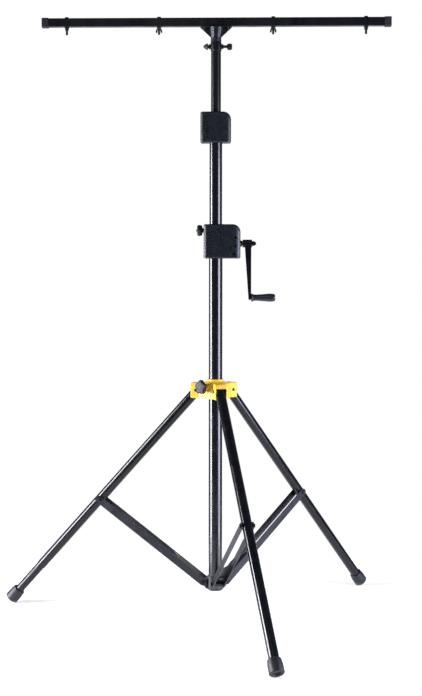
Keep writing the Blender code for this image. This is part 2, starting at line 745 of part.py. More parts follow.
def brace(number, mast):
    """A fork of two plates beside the leg, with a notched web between them near the hub."""
    azimuth, name = leg_azimuths[number], leg_names[number]
    brace_frame = frame("brace_%s_frame" % name, mast, (
        HUB_PIVOT_RADIUS * cos(azimuth), HUB_PIVOT_RADIUS * sin(azimuth), HUB_PIVOT_HEIGHT),
        (0, brace_angle, azimuth))
    half = BRACE_DEPTH / 2
    end = half * 0.98
    outline = rounded([(-half, -half, end), (half, -half, end), (half, brace_length + half, end),
                       (-half, brace_length + half, end)], 3)
    side = brace_inside + BRACE_PLATE / 2
    plates = [slab(outline, BRACE_PLATE, "XZ", (0, offset, 0)) for offset in (-side, side)]
    fork = piece("brace_" + name, merged(*plates), brace_frame, "black_paint")
    web_end = BRACE_WEB_START + BRACE_WEB_LENGTH
    side_end = brace_outside - BRACE_PLATE / 4
    web = [(-side_end, BRACE_WEB_START), (side_end, BRACE_WEB_START), (side_end, web_end),
           (brace_inside - 0.001, web_end), (0, web_end - BRACE_NOTCH), (0.001 - brace_inside, web_end),
           (-side_end, web_end)]
    at = (-half + BRACE_PLATE * 0.6, 0, 0)
    join(fork, tool("brace_web", slab(web, BRACE_PLATE, "YZ", at), brace_frame))
    hub_hole = rod(pin_hole, -2 * brace_outside, 2 * brace_outside, "Y", sides=INNER_SIDES)
    cut(fork, tool("brace_hole", hub_hole, brace_frame))
    joint = (0, 0, brace_length)
    inner, outer = leg_radius + BRACE_SIDE_GAP / 2, brace_outside + TOUCH
    end = outer + PIVOT_HEAD_HEIGHT
    studs, heads = [], []
    for sign in (-1, 1):
        low, high = sorted((sign * inner, sign * (end - 0.001)))
        studs.append(rod(pin_radius, low, high, "Y", joint))
        low, high = sorted((sign * (outer - 0.001), sign * end))
        heads.append(hex_prism(PIVOT_HEAD_RADIUS, low, high, "Y", joint))
    join(fork, tool("brace_studs", merged(*studs), brace_frame),
         tool("brace_stud_heads", merged(*heads), brace_frame))


# Cast housings, each in a front and a rear half
def case_blank(left, right, depth, bottom, height):
    """The plan of a housing, crowned front and back, drawn up to its height with rounded rims."""
    middle = (right - left) / 2
    front = depth / 2
    side = front - CASE_CROWN
    crown_radius = 0.6
    plan = rounded([
        (-left, -side, CASE_SIDE_ROUND), (middle, -front, crown_radius), (right, -side, CASE_SIDE_ROUND),
        (right, side, CASE_SIDE_ROUND), (middle, front, crown_radius), (-left, side, CASE_SIDE_ROUND),
    ], 2)
    return slab(plan, height, at=(0, 0, bottom + height / 2), edge=CASE_EDGE)


def case_elevation(left, right, depth, bottom, height):
    """The front view of a housing, with one big shoulder at the top right."""
    over = TOUCH
    low, high = bottom - over, bottom + height + over
    outline = rounded([
        (-left - over, low, CASE_CORNER), (right + over, low, CASE_CORNER),
        (right + over, high, CASE_SHOULDER), (-left - over, high, CASE_CORNER),
    ], 3)
    return slab(outline, 2 * depth, "XZ")


def grip_grooves(left, depth, low, high):
    """Level grooves that wrap the left end of a housing between two heights."""
    beyond = 0.01
    inner_side = depth / 2 - CASE_CROWN - GRIP_GROOVE_DEPTH
    inner_end = -left + GRIP_GROOVE_DEPTH
    stop = -left + GRIP_REACH
    band = rounded([
        (stop, -depth / 2 - beyond, 0), (-left - beyond, -depth / 2 - beyond, 0),
        (-left - beyond, depth / 2 + beyond, 0), (stop, depth / 2 + beyond, 0), (stop, inner_side, 0),
        (inner_end, inner_side, CASE_SIDE_ROUND), (inner_end, -inner_side, CASE_SIDE_ROUND),
        (stop, -inner_side, 0),
    ], 2)
    count = int((high - low) / GRIP_GROOVE_PITCH)
    return merged(*[slab(band, GRIP_GROOVE_WIDTH, at=(0, 0, low + GRIP_GROOVE_PITCH * (index + 0.5)))
                    for index in range(count)])


def housing_halves(prefix, parent, blank, shared):
    """The two halves of a housing, parted at the plane y = 0, with the same shapes taken out of both."""
    halves = []
    for label, sign in (("front", -1), ("rear", 1)):
        half = piece("%s_%s" % (prefix, label), blank.copy(), parent, "black_plastic")
        near, far = -TOUCH / 2, 1.0
        low, high = (near, far) if sign < 0 else (-far, -near)
        other = tool("other_half", block((-far, low, -far), (far, high, 4 * far)), parent)
        for operation, shape in shared:
            combine(half, operation, shape)
        cut(half, other)
        halves.append(half)
    return halves


def screw_wells(parent, places, depth):
    """The recesses for screw heads, each (x, z, on the rear face or not)."""
    floor = depth / 2 - CASE_CROWN - CASE_SCREW_SINK
    wells = []
    for x, z, rear in places:
        low, high = (floor, depth) if rear else (-depth, -floor)
        wells.append(rod(CASE_SCREW_HEAD + TOUCH, low, high, "Y", (x, 0, z)))
    return tool("screw_wells", merged(*wells), parent)


def guide_bush(name, parent, slide_radius, bottom, finish="nylon"):
    inner = slide_radius + RUN
    outer = inner + GUIDE_BUSH_WALL
    top = bottom + GUIDE_BUSH_HEIGHT
    return turned(name, [(outer, top), (outer, bottom), (inner, bottom), (inner, top)], parent, finish,
                  sides=TUBE_SIDES)


def winch(mast):
    bottom, top = WINCH_BOTTOM_HEIGHT, WINCH_BOTTOM_HEIGHT + WINCH_HEIGHT
    winch_frame = frame("winch_frame", mast)
    size = (WINCH_LEFT, WINCH_RIGHT, WINCH_DEPTH, bottom, WINCH_HEIGHT)
    blank = case_blank(*size)
    elevation = tool("winch_elevation", case_elevation(*size), winch_frame)
    grooves = tool("winch_grooves", grip_grooves(
        WINCH_LEFT, WINCH_DEPTH, bottom + 2 * CASE_CORNER, top - 2 * CASE_CORNER), winch_frame)
    cavity_depth = WINCH_DEPTH - 2 * (CASE_CROWN + CASE_WALL)
    cavity = tool("winch_cavity", slab(rounded([
        (drum_room_left, bottom + CASE_WALL, CASE_EDGE), (drum_room_right, bottom + CASE_WALL, CASE_EDGE),
        (drum_room_right, top - CASE_WALL, CASE_SHOULDER - CASE_WALL),
        (drum_room_left, top - CASE_WALL, CASE_EDGE),
    ], 2), cavity_depth, "XZ"), winch_frame)
    left_x = -(WINCH_LEFT + lower_radius) / 2
    right_x = drum_room_right - CASE_SCREW_HEAD
    front_x = WINCH_RIGHT - 0.0165
    wells = screw_wells(winch_frame, [
        (left_x, bottom + 0.014, True), (left_x, bottom + 0.068, True), (right_x, bottom + 0.012, True),
        (right_x - 0.002, top - 0.018, True), (front_x, crank_height + 0.020, False),
        (front_x, crank_height - 0.009, False), (front_x - 0.006, crank_height - 0.037, False),
    ], WINCH_DEPTH)
    seat = rod(lower_radius + TOUCH, bottom - 0.01, bottom + WINCH_TUBE_SEAT, sides=TUBE_SIDES)
    passage = rod(middle_radius + 0.001, bottom - 0.01, top + 0.01, sides=TUBE_SIDES)
    bush_bottom = bottom + WINCH_TUBE_SEAT + 0.006
    bush_room = rod(middle_radius + RUN + GUIDE_BUSH_WALL + TOUCH, bush_bottom - TOUCH,
                    bush_bottom + GUIDE_BUSH_HEIGHT + TOUCH, sides=TUBE_SIDES)
    bush = guide_bush("winch_guide_bush", winch_frame, middle_radius, bush_bottom)
    bearing = rod(bearing_radius + TOUCH, lower_radius, 2 * WINCH_RIGHT, "X", (0, 0, crank_height),
                  INNER_SIDES)
    stud_hole = tool("lock_stud_hole", rod(KNOB_STUD_DIAMETER / 2 + RUN, -2 * WINCH_LEFT, 0, "X",
                                           (0, 0, lock_knob_height), INNER_SIDES), winch_frame)
    cut(bush, stud_hole)
    shared = [("INTERSECT", elevation), ("DIFFERENCE", grooves), ("DIFFERENCE", cavity),
              ("DIFFERENCE", wells)]
    for mesh in (seat, passage, bush_room, bearing):
        shared.append(("DIFFERENCE", tool("winch_bore", mesh, winch_frame)))
    shared.append(("DIFFERENCE", stud_hole))
    housing_halves("winch_housing", winch_frame, blank, shared)

    left_end = lower_radius + 2 * TOUCH
    nose_end = WINCH_RIGHT + BEARING_NOSE
    place = {"location": (0, 0, crank_height), "rotation": (0, pi / 2, 0)}
    journal = SHAFT_JOURNAL_RADIUS + RUN
    turned("winch_bush_left", [
        (bearing_radius, drum_room_left), (bearing_radius, left_end), (journal, left_end),
        (journal, drum_room_left)], winch_frame, "brass", sides=INNER_SIDES, **place)
    journal = SHAFT_RADIUS + RUN
    turned("winch_bush_right", [
        (bearing_radius - 0.001, nose_end), (bearing_radius + 0.002, WINCH_RIGHT + TOUCH),
        (bearing_radius, WINCH_RIGHT + TOUCH), (bearing_radius, drum_room_right), (journal, drum_room_right),
        (journal, nose_end)], winch_frame, "brass", sides=INNER_SIDES, **place)

    ratchet_middle = ratchet_left + RATCHET_THICKNESS / 2
    tip = RATCHET_RADIUS + 0.0006
    pawl_shape = [(0.002, tip), (0.008, tip + 0.0012), (0.020, tip + 0.004), (0.022, tip + 0.012),
                  (0.014, tip + 0.012), (0.010, tip + 0.0055)]
    pawl = piece("brake_pawl", slab(pawl_shape, PAWL_THICKNESS, "YZ", (ratchet_middle, 0, crank_height)),
                 winch_frame, "zinc")
    pin = rod(0.002, ratchet_middle - PAWL_THICKNESS, drum_room_right - TOUCH, "X",
              (0, 0.0175, crank_height + tip + 0.008), sides=8)
    join(pawl, tool("pawl_pin", pin, winch_frame))

    lock_frame = frame("lock_knob_frame", mast, (-WINCH_LEFT, 0, lock_knob_height), (0, -pi / 2, 0))
    knob = piece("tube_lock_knob", knob_mesh(LOCK_KNOB_DIAMETER, LOCK_KNOB_THICKNESS), lock_frame,
                 "black_plastic")
    knob.data.transform(Matrix.Translation((0, 0, LOCK_KNOB_NECK)))
    tip_end = LOCK_KNOB_NECK + LOCK_KNOB_THICKNESS + 0.003
    stud, neck = KNOB_STUD_DIAMETER / 2, KNOB_BOSS_RADIUS - 0.003
    inner_end = middle_radius + TOUCH - WINCH_LEFT
    join(knob, turned_tool("lock_knob_stem", [
        (0, tip_end), (stud, tip_end), (stud, LOCK_KNOB_NECK + 0.004), (neck, LOCK_KNOB_NECK + 0.004),
        (neck, TOUCH), (stud, TOUCH), (stud, inner_end), (0, inner_end),
    ], lock_frame, sides=BOLT_SIDES, closed=False))


# Crank, shaft, drum and grip, turned about the winch axis
def crank(mast):
    crank_frame = frame("crank_frame", mast, (0, 0, crank_height))
    along_x = {"rotation": (0, pi / 2, 0)}
    left_end = lower_radius + 3 * TOUCH
    nut_bore = SHAFT_JOURNAL_RADIUS
    thread_end = hub_end + CRANK_NUT_LENGTH * 0.6
    turned("crank_shaft", [
        (0, thread_end), (nut_bore, thread_end), (nut_bore, hub_end), (SHAFT_RADIUS, hub_end),
        (SHAFT_RADIUS, drum_left - 0.001), (SHAFT_JOURNAL_RADIUS, drum_left - 0.001),
        (SHAFT_JOURNAL_RADIUS, left_end), (0, left_end),
    ], crank_frame, "zinc", sides=INNER_SIDES, closed=False, **along_x)

    bore = SHAFT_RADIUS + TOUCH
    right = drum_left + DRUM_WIDTH
    outline = [(DRUM_FLANGE_RADIUS, right), (DRUM_FLANGE_RADIUS, right - DRUM_FLANGE)]
    room = DRUM_WIDTH - 2 * DRUM_FLANGE
    pitch = room / DRUM_TURNS
    for wrap in range(DRUM_TURNS):
        start = right - DRUM_FLANGE - wrap * pitch
        outline += [(DRUM_BARREL_RADIUS, start), (DRUM_BARREL_RADIUS + CABLE_DIAMETER, start - pitch / 2)]
    outline += [(DRUM_BARREL_RADIUS, drum_left + DRUM_FLANGE), (DRUM_FLANGE_RADIUS, drum_left + DRUM_FLANGE),
                (DRUM_FLANGE_RADIUS, drum_left), (bore, drum_left), (bore, right)]
    turned("cable_drum", outline, crank_frame, "zinc", sides=INNER_SIDES, **along_x)

    wheel = piece("ratchet_wheel", slab(
        toothed(RATCHET_RADIUS, RATCHET_TEETH, RATCHET_TOOTH), RATCHET_THICKNESS, "YZ",
        (ratchet_left + RATCHET_THICKNESS / 2, 0, 0)), crank_frame, "zinc")
    shaft_hole = tool("shaft_hole", rod(bore, 0, 2 * hub_end, "X", sides=INNER_SIDES), crank_frame)
    cut(wheel, shaft_hole)

    tip_z = -CRANK_RADIUS
    elevation = rounded([
        (arm_right, CRANK_HUB_RADIUS / 2, 0), (arm_right - CRANK_ARM_ROOT, CRANK_HUB_RADIUS / 2, 0),
        (arm_right - CRANK_ARM_TIP, tip_z - CRANK_ARM_TIP_WIDTH / 2, 0.003),
        (arm_right, tip_z - CRANK_ARM_TIP_WIDTH / 2, 0.003),
    ], 1)
    arm = piece("crank_arm", slab(elevation, 2 * CRANK_ARM_ROOT_WIDTH, "XZ"), crank_frame, "black_paint")
    root, tip = CRANK_ARM_ROOT_WIDTH / 2, CRANK_ARM_TIP_WIDTH / 2
    face = rounded([
        (-root, root, root * 0.9), (-tip, tip_z - tip, tip * 0.95), (tip, tip_z - tip, tip * 0.95),
        (root, root, root * 0.9),
    ], 4)
    keep_inside(arm, tool("arm_face", slab(face, 4 * hub_end, "YZ"), crank_frame))
    hub = rod(CRANK_HUB_RADIUS, hub_start, hub_end, "X", sides=TURNED_SIDES)
    join(arm, tool("arm_hub", hub, crank_frame))
    spindle_hole = rod(GRIP_SPINDLE_RADIUS + TOUCH, 0, 2 * hub_end, "X", (0, 0, tip_z), TURNED_SIDES)
    cut(arm, shaft_hole, tool("spindle_hole", spindle_hole, crank_frame))

    nut = CRANK_NUT_RADIUS
    nut_start = hub_end + TOUCH
    cap_nut = turned("crank_nut", [
        (0, nut_start + CRANK_NUT_LENGTH), (nut * 0.4, nut_start + CRANK_NUT_LENGTH),
        (nut * 0.7, nut_start + 0.85 * CRANK_NUT_LENGTH), (nut * 0.8, nut_start + 0.6 * CRANK_NUT_LENGTH),
        (nut, nut_start + 0.55 * CRANK_NUT_LENGTH), (nut, nut_start), (0, nut_start),
    ], crank_frame, "black_bolt", sides=6, closed=False, **along_x)
    thread = rod(nut_bore + TOUCH, hub_end, thread_end + TOUCH, "X", sides=INNER_SIDES)
    cut(cap_nut, tool("nut_thread", thread, crank_frame))

    grip_frame = frame("grip_frame", crank_frame, (grip_start, 0, tip_z), (0, pi / 2, 0))
    bore = GRIP_SPINDLE_RADIUS + RUN
    end_well = 0.0072
    belly, waist, flange = GRIP_BELLY_RADIUS, GRIP_WAIST_RADIUS, GRIP_FLANGE_RADIUS
    turned("crank_grip", [
        (end_well, GRIP_LENGTH), (belly * 0.75, GRIP_LENGTH - 0.001), (belly * 0.93, GRIP_LENGTH * 0.93),
        (belly, GRIP_LENGTH * 0.82), (belly * 0.98, GRIP_LENGTH * 0.70), (waist * 1.12, GRIP_LENGTH * 0.45),
        (waist, GRIP_LENGTH * 0.22), (waist * 1.03, GRIP_LENGTH * 0.09), (flange, GRIP_LENGTH * 0.06),
        (flange, GRIP_LENGTH * 0.01), (flange * 0.9, 0), (bore, 0), (bore, GRIP_LENGTH - 0.004),
        (end_well, GRIP_LENGTH - 0.004),
    ], grip_frame, "rubber")
    head = end_well - 2 * TOUCH
    well_floor = GRIP_LENGTH - 0.004 + TOUCH
    inner_end = -CRANK_ARM_TIP - RUN
    turned("grip_spindle", [
        (0, GRIP_LENGTH - 0.0005), (head * 0.6, GRIP_LENGTH - 0.0005), (head, GRIP_LENGTH - 0.0015),
        (head, well_floor), (GRIP_SPINDLE_RADIUS, well_floor), (GRIP_SPINDLE_RADIUS, inner_end),
        (0, inner_end),
    ], crank_frame, "zinc", closed=False, location=(grip_start, 0, tip_z), rotation=(0, pi / 2, 0))


# Middle tube with the pulley housing at its top
def middle_stage(mast):
    middle_frame = frame("middle_frame", mast)
    tube = piece("middle_tube", sleeve(middle_radius, middle_tube_bottom, middle_tube_top), middle_frame,
                 "black_paint")
    thickened(tube, MIDDLE_TUBE_WALL)
    tube_foot("middle_tube_foot", middle_frame, middle_tube_bottom, lower_bore - RUN, middle_bore - TOUCH)
    bottom = PULLEY_HOUSING_BOTTOM_HEIGHT
    top = bottom + PULLEY_HOUSING_HEIGHT
    left, right, depth = PULLEY_HOUSING_LEFT, PULLEY_HOUSING_RIGHT, PULLEY_HOUSING_DEPTH
    blank = case_blank(left, right, depth, bottom, PULLEY_HOUSING_HEIGHT)
    elevation = case_elevation(left, right, depth, bottom, PULLEY_HOUSING_HEIGHT)
    grooves = grip_grooves(left, depth, bottom + 2 * CASE_CORNER, top - 6 * CASE_CORNER)
    seat = rod(middle_radius + TOUCH, bottom - 0.01, middle_tube_top + TOUCH, sides=TUBE_SIDES)
    passage = rod(top_radius + 0.001, bottom - 0.01, top + 0.01, sides=TUBE_SIDES)
    bush_bottom = top - CASE_WALL - GUIDE_BUSH_HEIGHT
    bush_room = rod(top_radius + RUN + GUIDE_BUSH_WALL + TOUCH, bush_bottom - TOUCH,
                    bush_bottom + GUIDE_BUSH_HEIGHT + TOUCH, sides=TUBE_SIDES)
    guide_bush("pulley_guide_bush", middle_frame, top_radius, bush_bottom)
    pulley_x = top_radius + 0.004 + PULLEY_RADIUS
    pulley_z = bottom + 0.058
    well = rod(PULLEY_RADIUS + 0.0015, -PULLEY_WIDTH / 2 - 0.001, PULLEY_WIDTH / 2 + 0.001, "Y",
               (pulley_x, 0, pulley_z), INNER_SIDES)
    axle_end = depth / 2 - CASE_CROWN - 0.006
    axle_hole = rod(PULLEY_AXLE_RADIUS + TOUCH, -axle_end - TOUCH, axle_end + TOUCH, "Y",
                    (pulley_x, 0, pulley_z))
    left_x, right_x = -(left + middle_radius) / 2, (right + middle_radius) / 2 + 0.002
    wells = screw_wells(middle_frame, [
        (left_x, bottom + 0.012, True), (left_x, top - 0.014, True), (right_x, bottom + 0.012, True),
    ], depth)
    shared = [("INTERSECT", tool("pulley_elevation", elevation, middle_frame)),
              ("DIFFERENCE", tool("pulley_grooves", grooves, middle_frame)), ("DIFFERENCE", wells)]
    for mesh in (seat, passage, bush_room, well, axle_hole):
        shared.append(("DIFFERENCE", tool("pulley_bore", mesh, middle_frame)))
    housing_halves("pulley_housing", middle_frame, blank, shared)
    axle = rod(PULLEY_AXLE_RADIUS, -axle_end, axle_end, "Y", (pulley_x, 0, pulley_z))
    piece("pulley_axle", axle, middle_frame, "zinc")
    pulley_frame = frame("pulley_frame", middle_frame, (pulley_x, 0, pulley_z), (-pi / 2, 0, 0))
    half = PULLEY_WIDTH / 2
    root = PULLEY_RADIUS - CABLE_DIAMETER * 0.8
    hole = PULLEY_AXLE_RADIUS + RUN
    turned("cable_pulley", [
        (PULLEY_RADIUS, half), (PULLEY_RADIUS, half * 0.75), (root, half * 0.2), (root, -half * 0.2),
        (PULLEY_RADIUS, -half * 0.75), (PULLEY_RADIUS, -half), (hole, -half), (hole, half),
    ], pulley_frame, "nylon", sides=INNER_SIDES)
    return middle_frame


def tube_foot(name, parent, tube_bottom, slide_radius, plug_radius):
    """The nylon foot of a sliding tube: a ring that runs in the tube outside, and a plug in its own tube."""
    cable_hole = CABLE_DIAMETER
    plug_top = tube_bottom + TUBE_FOOT_LENGTH * 0.7
    seat = tube_bottom - TOUCH
    bottom = seat - TUBE_FOOT_LENGTH
    turned(name, [
        (plug_radius, plug_top), (plug_radius, seat), (slide_radius, seat), (slide_radius, bottom),
        (cable_hole, bottom), (cable_hole, plug_top),
    ], parent, "nylon", sides=TUBE_SIDES)


# Top tube with the receptacle for the spigot
def top_stage(middle_frame):
    top_frame = frame("top_frame", middle_frame)
    tube = piece("top_tube", sleeve(top_radius, top_tube_bottom, top_tube_top), top_frame, "black_paint")
    thickened(tube, TOP_TUBE_WALL)
    tube_foot("top_tube_foot", top_frame, top_tube_bottom, middle_bore - RUN, top_bore - TOUCH)
    bottom, top = receptacle_bottom, receptacle_top
    shank, bore = top_bore - TOUCH, spigot_radius + RUN
    lip = 0.0015
    receptacle = turned("head_receptacle", [
        (RECEPTACLE_RADIUS - lip, top), (RECEPTACLE_RADIUS, top - lip), (RECEPTACLE_RADIUS, bottom + lip),
        (RECEPTACLE_RADIUS - lip, bottom), (shank, bottom), (shank, bottom - RECEPTACLE_SHANK),
        (bore, bottom - RECEPTACLE_SHANK), (bore, top),
    ], top_frame, "black_paint", sides=TUBE_SIDES)
    for side, hole_radius in ((1, HEAD_KNOB_SHAFT_RADIUS), (-1, PIN_RADIUS)):
        start, end = sorted((side * (spigot_radius + 0.002), side * HEAD_BOSS_REACH))
        boss = rod(HEAD_BOSS_RADIUS, start, end, "X", (0, 0, head_boss_height), TURNED_SIDES)
        join(receptacle, tool("receptacle_boss", boss, top_frame))
    for side, hole_radius in ((1, HEAD_KNOB_SHAFT_RADIUS), (-1, PIN_RADIUS)):
        start, end = sorted((side * 0.005, side * 2 * HEAD_BOSS_REACH))
        hole = rod(hole_radius + RUN, start, end, "X", (0, 0, head_boss_height), INNER_SIDES)
        cut(receptacle, tool("receptacle_hole", hole, top_frame))

    knob_frame = frame("head_knob_frame", top_frame, (HEAD_BOSS_REACH, 0, head_boss_height), (0, pi / 2, 0))
    grip_start = HEAD_KNOB_SHAFT_END - HEAD_BOSS_REACH
    knob = piece("head_clamp_knob", knob_mesh(2 * HEAD_KNOB_RADIUS, HEAD_KNOB_LENGTH), knob_frame,
                 "black_plastic")
    knob.data.transform(Matrix.Translation((0, 0, grip_start)))
    stud = rod(HEAD_KNOB_SHAFT_RADIUS, spigot_radius + TOUCH - HEAD_BOSS_REACH, grip_start + 0.004)
    join(knob, tool("head_knob_stud", stud, knob_frame))

    pin_frame = frame("safety_pin_frame", top_frame, (-HEAD_BOSS_REACH, 0, head_boss_height),
                      (0, -pi / 2, 0))
    inner = spigot_radius + TOUCH - HEAD_BOSS_REACH
    base = 0.0025
    outer = base + PIN_KNOB_LENGTH
    waist = HEAD_BOSS_RADIUS * 0.7
    turned("safety_pin", [
        (0, outer), (PIN_RADIUS, outer), (PIN_RADIUS + 0.001, outer - 0.002),
        (PIN_KNOB_RADIUS - 0.001, base + 0.004), (PIN_KNOB_RADIUS, base + 0.003),
        (PIN_KNOB_RADIUS - 0.001, base), (waist, base), (waist, TOUCH), (PIN_RADIUS, TOUCH),
        (PIN_RADIUS, inner + 0.001), (PIN_RADIUS - 0.001, inner), (0, inner),
    ], pin_frame, "black_plastic", sides=INNER_SIDES, closed=False)
    return top_frame


# Head: spigot, fluted bracket, cross bar and its bolts
def fluted(rings, ribs, depth):
    """A solid of revolution, each ring (height, radius, share of the rib depth), with upright ribs."""
    made = bmesh.new()
    per_rib = 4
    count = ribs * per_rib
    raised = [1.0, 0.6, 0.0, 0.6]
    levels = []
    for height, radius, share in rings:
        level = []
        for index in range(count):
            angle = 2 * pi * index / count
            here = radius + depth * share * raised[index % per_rib]
            level.append(made.verts.new((here * cos(angle), here * sin(angle), height)))
        levels.append(level)
    for lower, upper in zip(levels, levels[1:]):
        for index in range(count):
            after = (index + 1) % count
            made.faces.new((lower[index], lower[after], upper[after], upper[index]))
    made.faces.new(levels[0][::-1])
    made.faces.new(levels[-1])
    mesh = bpy.data.meshes.new("fluted")
    made.to_mesh(mesh)
    made.free()
    return mesh


def head(top_frame):
    head_frame = frame("head_frame", top_frame)
    low = socket_bottom - SPIGOT_BELOW
    high = socket_bottom + SPIGOT_ABOVE
    lip = 0.0015
    turned("spigot", [
        (0, high), (spigot_radius - lip, high), (spigot_radius, high - lip), (spigot_radius, low + lip),
        (spigot_radius - lip, low), (0, low),
    ], head_frame, "zinc", sides=TURNED_SIDES, closed=False)

    neck_top = socket_bottom + SOCKET_NECK_LENGTH
    rise = bracket_bottom - neck_top
    socket = fluted([
        (socket_bottom, SOCKET_NECK_RADIUS, 0), (neck_top, SOCKET_NECK_RADIUS, 0),
        (neck_top + rise * 0.12, SOCKET_NECK_RADIUS, 1),
        (bracket_bottom - rise * 0.1, SOCKET_TOP_RADIUS - SOCKET_RIB_DEPTH, 1),
        (bracket_bottom + BRACKET_PLATE * 0.4, SOCKET_TOP_RADIUS, 0),
    ], SOCKET_RIBS, SOCKET_RIB_DEPTH)
    bracket = piece("bar_bracket", socket, head_frame, "black_plastic")
    half = BRACKET_LENGTH / 2
    plate = slab(rounded([
        (-half, -BAR_SIZE / 2, 0.004), (half, -BAR_SIZE / 2, 0.004), (half, BAR_SIZE / 2, 0.004),
        (-half, BAR_SIZE / 2, 0.004),
    ], 3), BRACKET_PLATE, at=(0, 0, bracket_bottom + BRACKET_PLATE / 2))
    plate_middle = bracket_bottom + BRACKET_PLATE / 2
    foot_x = SOCKET_NECK_RADIUS - 0.001
    fin_foot = neck_top + 0.0005
    fin = slab([
        (-foot_x, fin_foot), (foot_x, fin_foot), (half - 0.003, bracket_bottom - 0.002),
        (half - 0.003, plate_middle), (0.003 - half, plate_middle), (0.003 - half, bracket_bottom - 0.002),
    ], BRACKET_FIN, "XZ")
    bosses = [rod(BRACKET_BOSS_RADIUS, bracket_bottom - BRACKET_BOSS_LENGTH, plate_middle, "Z", (x, 0, 0),
                  TURNED_SIDES) for x in (-BRACKET_BOLT_OFFSET, BRACKET_BOLT_OFFSET)]
    join(bracket, tool("bracket_plate", plate, head_frame), tool("bracket_fin", fin, head_frame),
         tool("bracket_bosses", merged(*bosses), head_frame))
    socket_bore = rod(spigot_radius + TOUCH, socket_bottom - 0.01, high + TOUCH, sides=TURNED_SIDES)
    cut(bracket, tool("socket_bore", socket_bore, head_frame))
    floor = BAR_BOTTOM_HEIGHT + BAR_WALL
    shanks, heads, holes = [], [], []
    for x in (-BRACKET_BOLT_OFFSET, BRACKET_BOLT_OFFSET):
        shanks.append(rod(BRACKET_BOLT_RADIUS, bracket_bottom, floor + 0.003, "Z", (x, 0, 0)))
        heads.append(hex_prism(BRACKET_BOLT_RADIUS * 1.8, floor + TOUCH, floor + 0.004, "Z", (x, 0, 0)))
        holes.append(rod(BRACKET_BOLT_RADIUS + TOUCH, bracket_bottom, floor + 0.001, "Z", (x, 0, 0)))
    join(bracket, tool("bracket_bolt_shanks", merged(*shanks), head_frame),
         tool("bracket_bolt_heads", merged(*heads), head_frame))
    bolt_holes = tool("bracket_bolt_holes", merged(*holes), head_frame)

    cross_bar(head_frame, bolt_holes)
    for number, x in enumerate(bolt_offsets, start=1):
        wing_nut(number, head_frame, x, wings_across=number in (1, len(bolt_offsets)))


def square(size, corner):
    half = size / 2
    return rounded([(-half, -half, corner), (half, -half, corner), (half, half, corner),
                    (-half, half, corner)], 3)


def square_sleeve(size, corner, length, middle):
    """The open outer surface of a square tube along X, for thickened()."""
    outline = square(size, corner)
    count = len(outline)
    points = [(middle[0] + end, middle[1] + across, middle[2] + up)
              for end in (-length / 2, length / 2) for across, up in outline]
    faces = [(index, (index + 1) % count, (index + 1) % count + count, index + count)
             for index in range(count)]
    mesh = bpy.data.meshes.new("square_sleeve")
    mesh.from_pydata(points, [], faces)
    return mesh


def drawn_in(bar, bolts, hole_radius, heights):
    """Takes the bar's modifiers into its mesh and draws its walls in a little at each bolt.

    Tightening a bolt through a hollow bar does that. Each wall stays one flat field from bolt to bolt.
    """
    made = bmesh.new()
    made.from_object(bar, bpy.context.evaluated_depsgraph_get())
    low, high = heights
    for place in [x + reach for x in bolts for reach in (-BOLT_DRAW_LEFT, BOLT_DRAW_RIGHT)]:
        level = [face for face in made.faces
                 if all(min(abs(corner.co.z - height) for height in heights) < 1e-5 for corner in face.verts)]
        edges = {edge for face in level for edge in face.edges}
        bmesh.ops.bisect_plane(made, geom=[*level, *edges], plane_co=(place, 0, 0), plane_no=(1, 0, 0))
    for corner in made.verts:
        if min(hypot(corner.co.x - x, corner.co.y) for x in bolts) < hole_radius + TOUCH:
            if abs(corner.co.z - low) < 1e-5:
                corner.co.z += BOLT_DRAW
            elif abs(corner.co.z - high) < 1e-5:
                corner.co.z -= BOLT_DRAW
    made.to_mesh(bar.data)
    made.free()
    bar.modifiers.clear()


def cross_bar(head_frame, bracket_bolt_holes):
    middle = (0, 0, BAR_BOTTOM_HEIGHT + BAR_SIZE / 2)
    bar = piece("cross_bar", square_sleeve(BAR_SIZE, BAR_CORNER, BAR_LENGTH, middle), head_frame,
                "black_paint")
    thickened(bar, BAR_WALL)
    bolt_radius = YOKE_BOLT_DIAMETER / 2
    holes = [rod(bolt_radius + TOUCH, BAR_BOTTOM_HEIGHT - 0.01, bar_top + 0.01, "Z", (x, 0, 0))
             for x in bolt_offsets]
    cut(bar, tool("bar_bolt_holes", merged(*holes), head_frame), bracket_bolt_holes)
    drawn_in(bar, bolt_offsets, bolt_radius + TOUCH, (BAR_BOTTOM_HEIGHT, bar_top))

    for number, x in enumerate(bolt_offsets, start=1):
        at = (x, 0, 0)
        shank = rod(bolt_radius, BAR_BOTTOM_HEIGHT - YOKE_BOLT_BELOW, bar_top + 0.002, "Z", at)
        top = hex_prism(YOKE_HEAD_RADIUS, bar_top + TOUCH, bar_top + YOKE_HEAD_HEIGHT, "Z", at)
        bolt = piece("yoke_bolt_%d" % number, shank, head_frame, "black_bolt")
        join(bolt, tool("yoke_bolt_head", top, head_frame))

    for side, name in ((-1, "left"), (1, "right")):
        inner_end = BAR_LENGTH / 2 - BAR_CAP_SLEEVE
        outer_end = BAR_LENGTH / 2 + BAR_CAP_WALL
        length = outer_end - inner_end
        centre = (side * (inner_end + outer_end) / 2, 0, middle[2])
        sleeve_size = BAR_SIZE + 2 * TOUCH
        outline = square(sleeve_size + 2 * BAR_CAP_WALL, BAR_CORNER + BAR_CAP_WALL)
        cap = piece("bar_end_cap_" + name, slab(outline, length, "YZ", centre, edge=0.0008), head_frame,
                    "black_plastic")
        pocket_end = BAR_LENGTH / 2 + TOUCH
        pocket_start = inner_end - 0.01
        pocket_at = (side * (pocket_start + pocket_end) / 2, 0, middle[2])
        pocket = slab(square(sleeve_size, BAR_CORNER), pocket_end - pocket_start, "YZ", pocket_at)
        cut(cap, tool("cap_pocket", pocket, head_frame))


